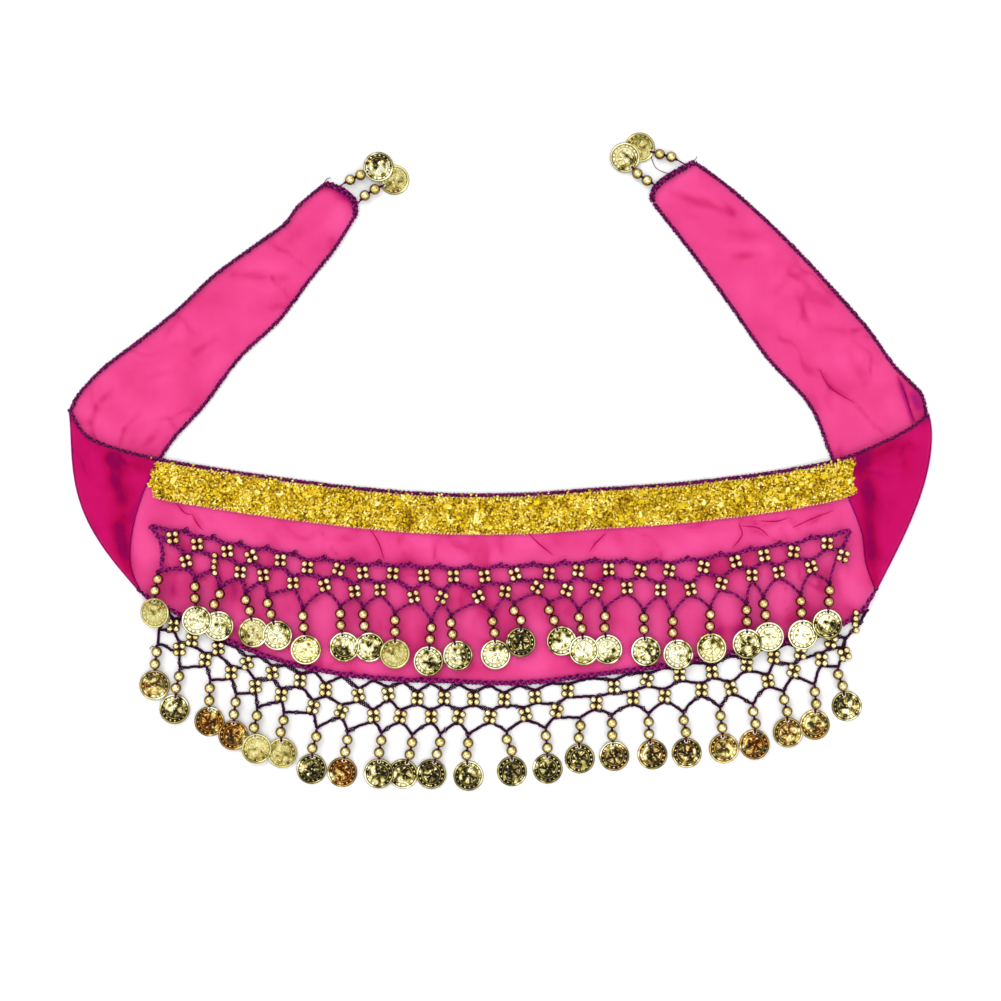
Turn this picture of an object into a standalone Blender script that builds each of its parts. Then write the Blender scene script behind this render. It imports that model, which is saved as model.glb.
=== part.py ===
"""Sequin hip scarf for a dog, laid flat with both ties folded back behind the panel.

One long sash of sheer cloth makes the panel and the two ties. A glitter band lies along
the panel's top hem. One crochet trim with beads and coins is sewn on the panel, and a
second one hangs from the panel's bottom hem. Each tie ends in two beaded coin drops.

Tables are in millimetres, seen from above: x to the right, y away from the viewer.
"""
import math
from collections import namedtuple

import bmesh
import bpy
from mathutils import Vector

MM = 0.001

# Cloth
WALL = 1.0                    # modelled thickness of one layer
GAP = 0.3                     # clearance between pieces that touch
LAYER_LIFT = WALL + GAP       # underside of the panel over a tie
FOLD_INNER = GAP / 2          # radii of the turn round each fold
FOLD_OUTER = FOLD_INNER + WALL
FOLD_STEPS = 4
FLAP_SHARE = 0.008            # part of the panel's length that the turned flap covers
FLAP_GAP_SHARE = 0.0012
PANEL_ROWS = 40
TIE_ROWS = 14
CLOTH_COLUMNS = 6
FULL_LIFT_REACH = 8.0         # the panel stays lifted this far past a tie's edge
LIFT_RAMP = 16.0              # and comes down to the surface over this length

# Sequin band
BAND_WIDTH = 20.0
BAND_INSET = 1.4              # from the top hem
BAND_THICK = 1.0
BAND_LEFT_X, BAND_RIGHT_X = -190.0, 194.5
BAND_ROWS, BAND_COLUMNS = 32, 1

# Trim
BEAD_RADIUS = 3.0
BEAD_SIDES = 5
BEAD_BODY = 1.35              # half length of a bead's widest stretch
BEAD_END = 2.75               # half length of a whole bead
BEAD_NECK = 1.2               # radius at a bead's ends
COIN_RADIUS = 8.25
COIN_THICK = 0.7
COIN_SIDES = 10
COIN_HOLE_INSET = 1.7
CLUSTER_SIZE = 6.8            # across four small beads
CLUSTER_HEIGHT = 3.0
CLUSTER_TUCK = 3.2            # a chain runs this far from a cluster's middle
CHAIN_WIDTH = 1.7
CHAIN_HEIGHT = 1.4
CHAIN_LIFT = 0.15
CHAIN_STAGGER = 0.06          # each chain lies a little higher than the one before it
COIN_LIFT = 0.03
CHAIN_RISE = 6.4              # the upper trim's first chain between clusters
HEM_CLEARANCE = 1.3           # from the bottom hem to the lower trim's first chain
THREAD_RADIUS = 0.6
THREAD_TIP = 0.25             # where the thread ends inside a coin
THREAD_TUCK = 0.4             # how far a drop's thread reaches into its chain
CHAIN_OVERRUN = 0.9           # how far a chain's end passes the chain that crosses it
THREAD_LEAD = 4.2             # from the chain to a drop's first bead
NET_MARGIN = 4.0              # a rigid trim bridges the panel's ramps by this much

# Sections across the sash, from one hem to the other. bow moves the section's middle
# along x.
Section = namedtuple("Section", "top_x top_y low_x low_y bow")

PANEL = [
    Section(-235.4, 28.0, -197.4, -70.4, -13.1),
    Section(-227.3, 15.0, -190.2, -77.0, -9.0),
    Section(-213.0, 8.2, -180.1, -81.6, -4.8),
    Section(-188.1, 1.7, -164.5, -90.8, -1.5),
    Section(-150.0, -4.8, -138.0, -103.2, 0.0),
    Section(-112.0, -10.3, -108.0, -112.9, 0.0),
    Section(-70.0, -15.2, -70.0, -118.9, 0.0),
    Section(-28.0, -17.9, -28.0, -120.9, 0.0),
    Section(14.0, -17.7, 12.0, -121.8, 0.0),
    Section(56.0, -14.9, 52.0, -117.4, 0.0),
    Section(96.0, -12.2, 90.0, -112.4, 0.0),
    Section(135.0, -7.9, 126.0, -105.6, 0.0),
    Section(166.0, -3.2, 158.0, -98.8, 0.8),
    Section(189.0, 2.0, 183.0, -92.0, 2.4),
    Section(211.0, 10.8, 197.0, -84.3, 4.6),
    Section(226.0, 18.6, 203.4, -76.4, 6.8),
    Section(235.0, 25.5, 206.8, -69.9, 8.6),
]
LEFT_TIE = [
    Section(-235.4, 28.0, -197.4, -70.4, -13.1),
    Section(-232.5, 34.5, -202.6, -56.0, -11.4),
    Section(-226.5, 42.3, -201.2, -36.0, -8.0),
    Section(-214.0, 54.2, -194.0, -13.0, -4.0),
    Section(-197.0, 66.9, -181.0, 10.0, -1.0),
    Section(-177.7, 82.3, -162.0, 31.5, 0.0),
    Section(-157.0, 101.8, -143.0, 56.8, 0.0),
    Section(-136.0, 117.4, -121.0, 77.9, 0.0),
    Section(-118.0, 130.3, -103.5, 100.8, 0.0),
    Section(-109.8, 141.0, -90.8, 116.6, 0.0),
    Section(-95.2, 152.9, -78.9, 135.4, 0.0),
]
RIGHT_TIE = [
    Section(235.0, 25.5, 206.8, -69.9, 8.6),
    Section(233.0, 35.2, 201.8, -56.0, 7.3),
    Section(228.6, 41.3, 199.2, -38.0, 5.5),
    Section(217.0, 53.0, 191.0, -17.0, 3.0),
    Section(203.0, 72.4, 181.5, 6.5, 1.0),
    Section(186.0, 92.0, 170.5, 31.8, 0.0),
    Section(168.0, 111.5, 147.5, 57.4, 0.0),
    Section(149.0, 130.5, 127.0, 86.5, 0.0),
    Section(128.5, 149.0, 108.0, 112.5, 0.0),
    Section(107.3, 164.8, 84.2, 143.0, -2.0),
]
LEFT_BOW_PEAK = 0.55          # where a bowed section reaches furthest, from its top
RIGHT_BOW_PEAK = 0.40

# Soft ridges that stand in the cloth's upper face. The panel has them only beside the
# band and the trim, which lie flat on it.
Ridge = namedtuple("Ridge", "x1 y1 x2 y2 width height")

PANEL_RIDGES = [
    Ridge(-228, 4, -214, -36, 6.0, 0.8),
    Ridge(-214, 0, -206, -22, 5.0, 0.6),
    Ridge(229, 4, 219, -34, 6.0, 0.8),
    Ridge(214, 6, 210, -18, 5.0, 0.6),
]
SIDE_STRETCH = (198.0, 208.0)   # distance from the middle where the panel's ridges start
LEFT_RIDGES = [
    Ridge(-192, 55, -158, 50, 7.0, 0.8),
    Ridge(-172, 84, -136, 68, 7.0, 0.9),
    Ridge(-146, 106, -118, 88, 6.0, 0.8),
    Ridge(-122, 126, -98, 112, 6.0, 0.8),
]
RIGHT_RIDGES = [
    Ridge(214, 40, 188, 50, 7.0, 0.8),
    Ridge(196, 76, 160, 62, 7.0, 0.9),
    Ridge(170, 104, 138, 84, 7.0, 0.9),
    Ridge(138, 136, 112, 120, 6.0, 0.8),
]

RIDGE_SINK = 0.4

# One repeat of a trim: a four-bead cluster in each row, and a drop. Swings turn the
# beads and the coin away from straight down, in degrees, positive towards +x. layer
# counts the coins that the drop's coin lies on.
Repeat = namedtuple("Repeat", "x1 y1 x2 y2 bead_x bead_y bead_swing coin_swing layer")

UPPER_TRIM = [
    Repeat(-179.0, -41.5, -171.7, -54.5, -186.8, -64.4, -15, 0, 0),
    Repeat(-165.6, -45.1, -156.2, -56.1, -166.7, -68.4, 0, 5, 1),
    Repeat(-149.1, -49.0, -141.9, -60.5, -153.1, -72.5, -28, 11, 0),
    Repeat(-135.9, -51.7, -129.3, -62.2, -138.9, -75.7, 20, 9, 0),
    Repeat(-119.9, -53.9, -113.0, -66.4, -126.8, -77.4, 16, 16, 1),
    Repeat(-105.1, -57.8, -95.7, -67.7, -107.5, -84.5, 4, 6, 0),
    Repeat(-88.0, -58.9, -79.2, -71.0, -87.0, -83.2, 2, 9, 1),
    Repeat(-74.8, -60.8, -65.2, -70.2, -74.5, -83.6, 6, 13, 0),
    Repeat(-58.3, -61.1, -46.8, -74.0, -57.1, -86.8, 1, -1, 1),
    Repeat(-41.3, -62.2, -31.4, -74.3, -37.1, -90.9, -7, -4, 0),
    Repeat(-25.0, -62.7, -11.3, -74.0, -26.4, -88.2, 8, 14, 1),
    Repeat(-7.9, -62.7, 3.3, -71.1, -3.6, -87.4, 10, 3, 0),
    Repeat(8.8, -61.6, 20.9, -68.8, 8.3, -81.6, 36, 0, 1),
    Repeat(27.4, -61.1, 37.2, -70.3, 27.4, -81.2, 26, 20, 0),
    Repeat(43.5, -59.7, 53.4, -70.4, 43.8, -85.2, 14, 6, 1),
    Repeat(60.2, -58.9, 70.3, -69.1, 58.1, -84.6, -2, 8, 0),
    Repeat(77.6, -59.7, 88.6, -70.3, 79.4, -85.5, 0, 6, 0),
    Repeat(93.5, -59.4, 105.2, -69.9, 95.2, -87.3, 0, 14, 1),
    Repeat(112.2, -57.5, 122.1, -66.7, 115.8, -83.7, -2, 5, 0),
    Repeat(129.8, -54.6, 138.8, -62.2, 135.6, -81.2, 2, 1, 1),
    Repeat(145.5, -51.2, 153.5, -60.4, 145.0, -77.7, 10, 9, 0),
    Repeat(161.7, -49.2, 171.4, -57.5, 165.4, -76.3, 3, 4, 0),
    Repeat(179.9, -44.6, 188.7, -51.5, 181.2, -70.4, -4, -4, 1),
]
LOWER_TRIM = [
    Repeat(-178.8, -89.7, -175.5, -102.9, -187.8, -104.3, -8, -2, 0),
    Repeat(-168.6, -97.7, -161.3, -108.6, -175.5, -117.6, -15, -5, 1),
    Repeat(-154.2, -102.4, -147.1, -115.7, -158.7, -124.2, -2, -1, 0),
    Repeat(-138.5, -110.5, -133.8, -123.3, -144.5, -131.8, -8, -3, 1),
    Repeat(-124.5, -115.7, -119.6, -128.0, -132.8, -139.2, -14, 7, 2),
    Repeat(-109.2, -119.9, -102.1, -134.6, -118.2, -141.7, -14, 3, 1),
    Repeat(-95.2, -125.1, -86.6, -137.0, -100.2, -150.7, -19, -3, 0),
    Repeat(-77.2, -128.0, -68.9, -139.4, -83.2, -152.4, -10, -9, 0),
    Repeat(-60.8, -127.3, -54.2, -139.7, -64.6, -152.8, -10, -1, 1),
    Repeat(-44.8, -129.7, -37.2, -139.9, -47.7, -153.9, -11, -19, 0),
    Repeat(-30.1, -129.5, -22.1, -139.9, -32.3, -153.7, -15, -16, 1),
    Repeat(-14.0, -130.0, -4.8, -139.9, -16.9, -154.2, -8, 5, 0),
    Repeat(2.9, -130.3, 14.6, -138.5, 4.3, -152.2, 23, 1, 0),
    Repeat(19.8, -129.0, 31.6, -136.6, 25.7, -150.2, 7, 1, 0),
    Repeat(37.8, -125.6, 53.4, -132.4, 44.7, -144.7, -8, 3, 0),
    Repeat(63.2, -123.4, 73.6, -129.5, 61.9, -143.3, 2, 6, 0),
    Repeat(81.3, -119.7, 91.0, -128.5, 82.1, -142.6, 2, 10, 0),
    Repeat(99.2, -116.6, 111.3, -125.1, 101.3, -141.7, 11, 3, 0),
    Repeat(117.0, -115.2, 127.4, -124.2, 121.5, -139.2, 8, 6, 0),
    Repeat(136.0, -111.4, 147.8, -120.2, 139.5, -137.0, 11, -2, 0),
    Repeat(150.9, -107.1, 161.7, -114.7, 156.5, -130.4, 14, 3, 1),
    Repeat(165.6, -104.8, 177.2, -108.6, 173.3, -126.1, 6, -2, 0),
    Repeat(182.4, -98.6, 189.8, -105.6, 186.1, -116.6, 21, 13, 0),
]
# Spacing along a drop, middle to middle
UPPER_BEAD_STEP, UPPER_COIN_STEP = 6.3, 12.2
LOWER_BEAD_STEP, LOWER_COIN_STEP = 6.7, 11.7

# Free ends of each trim's chains
UPPER_LEFT_EDGE = [(-191.5, -35.2), (-185.8, -41.5), (-184.4, -51.5), (-185.4, -60.0)]
UPPER_RIGHT_EDGE = [(192.6, -37.5), (189.0, -46.0)]
LOWER_LEFT_EDGE = [(-182.4, -82.2), (-186.6, -92.0), (-187.4, -99.8)]
LOWER_RIGHT_EDGE = [(203.0, -81.0), (196.5, -91.0), (190.5, -96.6), (186.4, -112.8)]

# Drops at the ties' ends: where the thread leaves the cloth, the beads and the coin
EndDrop = namedtuple("EndDrop", "x y bead1_x bead1_y bead2_x bead2_y coin_x coin_y layer")

LEFT_END_DROPS = [
    EndDrop(-87.6, 151.4, -81.6, 154.8, -76.0, 157.4, -66.2, 162.0, 1),
    EndDrop(-78.0, 141.6, -73.6, 146.2, -68.2, 149.6, -57.6, 155.1, 0),
]
RIGHT_END_DROPS = [
    EndDrop(99.6, 165.0, 94.5, 167.4, 88.2, 168.8, 77.4, 172.9, 0),
    EndDrop(86.6, 151.6, 81.2, 154.4, 75.9, 158.2, 69.2, 167.2, 1),
]
END_THREAD_OUT = 1.5          # from a tie's end to the thread that its drops hang on


def clear_scene():
    for item in list(bpy.data.objects):
        bpy.data.objects.remove(item, do_unlink=True)


def material(name, colour, roughness, metallic=0.0):
    made = bpy.data.materials.new(name)
    made.use_nodes = True
    shader = made.node_tree.nodes["Principled BSDF"]
    shader.inputs["Base Color"].default_value = (*colour, 1.0)
    shader.inputs["Roughness"].default_value = roughness
    shader.inputs["Metallic"].default_value = metallic
    return made


def smoothstep(low, high, value):
    share = min(max((value - low) / (high - low), 0.0), 1.0)
    return share * share * (3 - 2 * share)


def spline(rows, share):
    """A smooth curve through equal-length rows of numbers, share from 0 to 1."""
    span = share * (len(rows) - 1)
    index = min(int(span), len(rows) - 2)
    t = span - index
    before, after = rows[max(index - 1, 0)], rows[min(index + 2, len(rows) - 1)]
    start, end = rows[index], rows[index + 1]
    return [b + 0.5 * t * (c - a + t * (2 * a - 5 * b + 4 * c - d + t * (3 * (b - c) + d - a)))
            for a, b, c, d in zip(before, start, end, after)]


def cloth_point(sections, along, across):
    """The plan point at a share of the length and a share of the width."""
    row = Section(*spline(sections, along))
    peak = LEFT_BOW_PEAK if row.bow < 0 else RIGHT_BOW_PEAK
    power = math.log(0.5) / math.log(peak)
    bulge = row.bow * math.sin(math.pi * across ** power)
    return Vector((row.top_x + (row.low_x - row.top_x) * across + bulge,
                   row.top_y + (row.low_y - row.top_y) * across))


def outline(sections, steps=8):
    """The plan outline of a tie, with its bowed fold."""
    fold = [cloth_point(sections, 0.0, i / steps) for i in range(steps + 1)]
    low = [Vector((s.low_x, s.low_y)) for s in sections[1:]]
    top = [Vector((s.top_x, s.top_y)) for s in reversed(sections[1:])]
    return fold + low + top


def segment_distance(point, start, end):
    line = end - start
    share = min(max((point - start).dot(line) / line.length_squared, 0.0), 1.0)
    return (point - start - line * share).length, share


def outline_distance(point, corners):
    """Distance from a plan point to an outline, 0 inside it."""
    inside = False
    nearest = math.inf
    for start, end in zip(corners, corners[1:] + corners[:1]):
        nearest = min(nearest, segment_distance(point, start, end)[0])
        if (start.y > point.y) != (end.y > point.y):
            crossing = start.x + (point.y - start.y) * (end.x - start.x) / (end.y - start.y)
            inside = inside != (point.x < crossing)
    return 0.0 if inside else nearest


TIE_OUTLINES = [outline(LEFT_TIE), outline(RIGHT_TIE)]


def lift_at(point, margin=0.0):
    """Height of the panel's underside: flat, but for the ties folded under its ends."""
    near = min(outline_distance(point, corners) for corners in TIE_OUTLINES) - margin
    return LAYER_LIFT * (1 - smoothstep(FULL_LIFT_REACH, FULL_LIFT_REACH + LIFT_RAMP, near))


def ridge_height(ridges, point):
    """Ridges die away to their sides and sink towards their far ends."""
    height = 0.0
    for ridge in ridges:
        start, end = Vector((ridge.x1, ridge.y1)), Vector((ridge.x2, ridge.y2))
        away, share = segment_distance(point, start, end)
        height += ridge.height * math.exp(-(away / ridge.width) ** 2) * (1 - RIDGE_SINK * share)
    return height


def on_cloth(x, y):
    """Where a trim that lies on the panel starts."""
    return lift_at(Vector((x, y)), NET_MARGIN) + WALL + GAP + 0.05


def on_surface(x, y):
    return 0.0


def at(plan, height):
    return Vector((plan.x, plan.y, height)) * MM


def finish_mesh(name, mesh_data, look):
    bmesh.ops.recalc_face_normals(mesh_data, faces=mesh_data.faces)
    mesh = bpy.data.meshes.new(name)
    mesh_data.to_mesh(mesh)
    mesh_data.free()
    made = bpy.data.objects.new(name, mesh)
    bpy.context.scene.collection.objects.link(made)
    if look:
        mesh.materials.append(look)
    return made


def slab(name, lower, upper, look):
    """A closed wall between two grids of points with the same rows and columns."""
    data = bmesh.new()
    grids = [[[data.verts.new(point) for point in row] for row in grid] for grid in (lower, upper)]
    rows, columns = len(lower), len(lower[0])
    for grid in grids:
        for i in range(rows - 1):
            for j in range(columns - 1):
                data.faces.new((grid[i][j], grid[i + 1][j], grid[i + 1][j + 1], grid[i][j + 1]))
    rim = [(i, 0) for i in range(rows)] + [(rows - 1, j) for j in range(1, columns)]
    rim += [(i, columns - 1) for i in range(rows - 2, -1, -1)]
    rim += [(0, j) for j in range(columns - 2, 0, -1)]
    under, over = grids
    for (i, j), (k, m) in zip(rim, rim[1:] + rim[:1]):
        data.faces.new((under[i][j], under[k][m], over[k][m], over[i][j]))
    return finish_mesh(name, data, look)


def make_panel(look):
    lower, upper = [], []
    for i in range(PANEL_ROWS + 1):
        along = FLAP_SHARE + (1 - 2 * FLAP_SHARE) * i / PANEL_ROWS
        plans = [cloth_point(PANEL, along, j / CLOTH_COLUMNS) for j in range(CLOTH_COLUMNS + 1)]
        ridges = [smoothstep(*SIDE_STRETCH, abs(plan.x)) * ridge_height(PANEL_RIDGES, plan)
                  for plan in plans]
        lower.append([at(plan, lift_at(plan)) for plan in plans])
        upper.append([at(plan, lift_at(plan) + WALL + ridge) for plan, ridge in zip(plans, ridges)])
    return slab("panel", lower, upper, look)


def make_tie(name, sections, ridges, side, look):
    """A tie on the surface, turned up round its fold and over to meet the panel."""
    lower, upper = [], []
    columns = [j / CLOTH_COLUMNS for j in range(CLOTH_COLUMNS + 1)]
    for i in range(TIE_ROWS, 0, -1):
        plans = [cloth_point(sections, (i / TIE_ROWS) ** 1.15, across) for across in columns]
        free = [smoothstep(LIFT_RAMP, 2 * LIFT_RAMP, panel_distance(plan)) for plan in plans]
        lower.append([at(plan, 0.0) for plan in plans])
        upper.append([at(plan, WALL + share * ridge_height(ridges, plan))
                      for plan, share in zip(plans, free)])
    fold = [cloth_point(sections, 0.0, across) for across in columns]
    for step in range(FOLD_STEPS + 1):
        turn = math.pi * step / FOLD_STEPS
        out = Vector((side * math.sin(turn), 0.0))
        lower.append([at(plan + out * FOLD_OUTER, FOLD_OUTER * (1 - math.cos(turn))) for plan in fold])
        upper.append([at(plan + out * FOLD_INNER, FOLD_OUTER - FOLD_INNER * math.cos(turn))
                      for plan in fold])
    reach = FLAP_SHARE - FLAP_GAP_SHARE
    flap = [cloth_point(PANEL, reach if side < 0 else 1 - reach, across) for across in columns]
    lower.append([at(plan, LAYER_LIFT + WALL) for plan in flap])
    upper.append([at(plan, LAYER_LIFT) for plan in flap])
    return slab(name, lower, upper, look)


def panel_distance(point):
    corners = [Vector((s.top_x, s.top_y)) for s in PANEL]
    corners += [Vector((s.low_x, s.low_y)) for s in reversed(PANEL)]
    return outline_distance(point, corners)


def make_band(look):
    """The glitter band, made from the panel's points moved out."""
    lower, upper = [], []
    for i in range(BAND_ROWS + 1):
        x = BAND_LEFT_X + (BAND_RIGHT_X - BAND_LEFT_X) * i / BAND_ROWS
        top = hem_at(x, 0.0)
        plans = [Vector((x, top - BAND_INSET - BAND_WIDTH * j / BAND_COLUMNS))
                 for j in range(BAND_COLUMNS + 1)]
        bases = [lift_at(plan, NET_MARGIN) + WALL + GAP for plan in plans]
        lower.append([at(plan, base) for plan, base in zip(plans, bases)])
        upper.append([at(plan, base + BAND_THICK) for plan, base in zip(plans, bases)])
    return slab("sequin_band", lower, upper, look)


def hem_at(x, across, steps=160):
    """The y of the panel's hem above an x, across 0 for the top hem and 1 for the bottom."""
    points = [cloth_point(PANEL, i / steps, across) for i in range(steps + 1)]
    for start, end in zip(points, points[1:]):
        if start.x <= x <= end.x:
            return start.y + (end.y - start.y) * (x - start.x) / (end.x - start.x)
    return points[0].y if x < points[0].x else points[-1].y


def sweep(data, path, rings):
    """A closed tube along a path. Each ring lists (sideways, upwards) offsets."""
    loops = []
    for i, (point, ring) in enumerate(zip(path, rings)):
        ahead = (path[min(i + 1, len(path) - 1)] - path[max(i - 1, 0)]).normalized()
        side = ahead.cross(Vector((0, 0, 1))).normalized()
        up = side.cross(ahead)
        loops.append([data.verts.new((point + side * s + up * u) * MM) for s, u in ring])
    for first, second in zip(loops, loops[1:]):
        for j in range(len(first)):
            k = (j + 1) % len(first)
            data.faces.new((first[j], first[k], second[k], second[j]))
    data.faces.new(loops[0][::-1])
    data.faces.new(loops[-1])


def round_ring(radius):
    turns = [math.tau * (k + 0.5) / BEAD_SIDES - math.pi / 2 for k in range(BEAD_SIDES)]
    return [(radius * math.cos(turn), radius * math.sin(turn)) for turn in turns]


def make_chain(name, plans, ground, order, look):
    """A crochet chain as a three-sided rope that lies on the ground under it."""
    ring = [(-CHAIN_WIDTH / 2, 0.0), (CHAIN_WIDTH / 2, 0.0), (0.0, CHAIN_HEIGHT)]
    lift = CHAIN_LIFT + CHAIN_STAGGER * order
    path = [Vector((x, y, ground(x, y) + lift)) for x, y in plans]
    data = bmesh.new()
    sweep(data, path, [ring] * len(path))
    return finish_mesh(name, data, look)


def add_cluster(data, x, y, ground):
    """Four small beads as one bevelled block."""
    base = ground(x, y)
    levels = ((0.0, 1.0), (CLUSTER_HEIGHT, 0.75))
    loops = []
    for height, scale in levels:
        half = CLUSTER_SIZE / 2 * scale
        corners = ((-half, -half), (half, -half), (half, half), (-half, half))
        loops.append([data.verts.new(Vector((x + dx, y + dy, base + height)) * MM) for dx, dy in corners])
    for first, second in zip(loops, loops[1:]):
        for j in range(4):
            k = (j + 1) % 4
            data.faces.new((first[j], first[k], second[k], second[j]))
    data.faces.new(loops[0][::-1])
    data.faces.new(loops[-1])


def add_coin(data, centre, base):
    loops = []
    for height in (0.0, COIN_THICK):
        loops.append([data.verts.new(Vector((centre.x + COIN_RADIUS * math.cos(math.tau * k / COIN_SIDES),
                                             centre.y + COIN_RADIUS * math.sin(math.tau * k / COIN_SIDES),
                                             base + height)) * MM) for k in range(COIN_SIDES)])
    for j in range(COIN_SIDES):
        k = (j + 1) % COIN_SIDES
        data.faces.new((loops[0][j], loops[0][k], loops[1][k], loops[1][j]))
    data.faces.new(loops[0][::-1])
    data.faces.new(loops[-1])


def add_strand(data, start, beads, coin, start_z, bead_base, coin_base):
    """The thread of a drop with its two beads, from where it is sewn to the coin's hole."""
    flat = math.cos(math.pi / BEAD_SIDES)
    middle = bead_base + BEAD_RADIUS * flat
    first = (beads[0] - start).normalized()
    between = (beads[1] - beads[0]).normalized()
    last = (coin - beads[1]).normalized()
    hole = coin - last * (COIN_RADIUS - COIN_HOLE_INSET)
    stations = [
        (start, start_z, THREAD_RADIUS),
        (beads[0] - first * BEAD_END, middle, BEAD_NECK),
        (beads[0] - between * BEAD_BODY, middle, BEAD_RADIUS),
        (beads[0] + between * BEAD_BODY, middle, BEAD_RADIUS),
        ((beads[0] + beads[1]) / 2, middle, BEAD_NECK),
        (beads[1] - between * BEAD_BODY, middle, BEAD_RADIUS),
        (beads[1] + between * BEAD_BODY, middle, BEAD_RADIUS),
        (beads[1] + last * BEAD_END, middle, BEAD_NECK),
        (hole, coin_base + COIN_THICK / 2, THREAD_TIP),
    ]
    path = [Vector((plan.x, plan.y, height)) for plan, height, radius in stations]
    sweep(data, path, [round_ring(radius) for plan, height, radius in stations])


def swung(start, length, degrees):
    turn = math.radians(degrees)
    return start + Vector((math.sin(turn), -math.cos(turn))) * length


def drop_points(repeat, bead_step, coin_step):
    first = Vector((repeat.bead_x, repeat.bead_y))
    second = swung(first, bead_step, repeat.bead_swing)
    return first, second, swung(second, coin_step, repeat.coin_swing)


def coin_height(centre, layer, ground, obstacles):
    """A coin lies on the ground or on what it meets, and on the coins under it."""
    base = ground(centre.x, centre.y) + COIN_LIFT
    for x, y, reach, top in obstacles:
        if (centre - Vector((x, y))).length < COIN_RADIUS + reach:
            base = max(base, top + GAP)
    return base + layer * (COIN_THICK + GAP)


def chain_one(trim, ground, left, right):
    """The sewn-on chain: it dips to each cluster of the first row."""
    points = [(left[0] - CHAIN_OVERRUN, left[1] + CHAIN_OVERRUN / 3)]
    for first, second in zip(trim, trim[1:] + [None]):
        points.append((first.x1, first.y1 + CLUSTER_TUCK))
        if second:
            middle = (first.x1 + second.x1) / 2
            if ground is on_cloth:
                height = (first.y1 + second.y1) / 2 + CHAIN_RISE
            else:
                height = hem_at(middle, 1.0) - HEM_CLEARANCE
            points.append((middle, height))
    return points + [(right[0] + CHAIN_OVERRUN, right[1])]


def chain_two(trim, left, right):
    """The middle chain: under each first-row cluster, over each second-row cluster."""
    points = [(left[0] - CHAIN_OVERRUN, left[1])]
    for repeat in trim:
        points.append((repeat.x1, repeat.y1 - CLUSTER_TUCK))
        points.append((repeat.x2, repeat.y2 + CLUSTER_TUCK))
    return points + right


def chain_three(trim, right):
    """The last chain: it dips to each drop and rises under each second-row cluster."""
    points = []
    for repeat in trim:
        points.append((repeat.bead_x, repeat.bead_y + THREAD_LEAD))
        points.append((repeat.x2, repeat.y2 - CLUSTER_TUCK))
    return points[:-1] + right


def union(target, *helpers):
    for helper in helpers:
        helper.hide_render = True
        helper.display_type = "WIRE"
        join = target.modifiers.new(helper.name, "BOOLEAN")
        join.operation = "UNION"
        join.solver = "EXACT"
        join.object = helper


def make_trim(name, trim, chains, steps, ground, obstacles, look):
    """A crochet trim fused into one body from its chains, clusters, strands and coins."""
    cluster_data, strand_data, coin_data = (bmesh.new() for _ in range(3))
    for repeat in trim:
        add_cluster(cluster_data, repeat.x1, repeat.y1, ground)
        add_cluster(cluster_data, repeat.x2, repeat.y2, ground)
        first, second, coin = drop_points(repeat, *steps)
        base = coin_height(coin, repeat.layer, ground, obstacles)
        start = Vector((first.x, first.y + THREAD_LEAD + THREAD_TUCK))
        start_z = ground(start.x, start.y) + CHAIN_LIFT + THREAD_RADIUS
        add_strand(strand_data, start, (first, second), coin, start_z, ground(first.x, first.y), base)
        add_coin(coin_data, coin, base)
    body = make_chain(name, chains[0], ground, 0, look)
    helpers = [make_chain(f"{name}_chain_{order}", chain, ground, order, None)
               for order, chain in enumerate(chains[1:], 1)]
    helpers += [finish_mesh(f"{name}_{part}", data, None) for part, data in
                (("clusters", cluster_data), ("strands", strand_data), ("coins", coin_data))]
    union(body, *helpers)
    return body


def make_upper_trim(look):
    chains = [
        chain_one(UPPER_TRIM, on_cloth, UPPER_LEFT_EDGE[0], UPPER_RIGHT_EDGE[0]),
        chain_two(UPPER_TRIM, UPPER_LEFT_EDGE[1], [UPPER_RIGHT_EDGE[1]]),
        chain_three(UPPER_TRIM, [UPPER_RIGHT_EDGE[1]]),
        UPPER_LEFT_EDGE,
        UPPER_RIGHT_EDGE,
    ]
    clusters = [(r.x1, r.y1) for r in LOWER_TRIM] + [(r.x2, r.y2) for r in LOWER_TRIM]
    chain = chain_one(LOWER_TRIM, on_surface, LOWER_LEFT_EDGE[0], LOWER_RIGHT_EDGE[2])
    chain += LOWER_LEFT_EDGE + LOWER_RIGHT_EDGE
    obstacles = [(x, y, CLUSTER_SIZE * 0.7, CLUSTER_HEIGHT) for x, y in clusters]
    obstacles += [(x, y, 3 * CHAIN_WIDTH, CHAIN_LIFT + 4 * CHAIN_STAGGER + CHAIN_HEIGHT)
                  for x, y in chain]
    return make_trim("upper_net", UPPER_TRIM, chains, (UPPER_BEAD_STEP, UPPER_COIN_STEP),
                     on_cloth, obstacles, look)


def make_lower_trim(look):
    chains = [
        chain_one(LOWER_TRIM, on_surface, LOWER_LEFT_EDGE[0], LOWER_RIGHT_EDGE[2]),
        chain_two(LOWER_TRIM, LOWER_LEFT_EDGE[1], [LOWER_RIGHT_EDGE[2]]),
        chain_three(LOWER_TRIM, []),
        LOWER_LEFT_EDGE,
        LOWER_RIGHT_EDGE,
    ]
    return make_trim("lower_net", LOWER_TRIM, chains, (LOWER_BEAD_STEP, LOWER_COIN_STEP),
                     on_surface, [], look)


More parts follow.
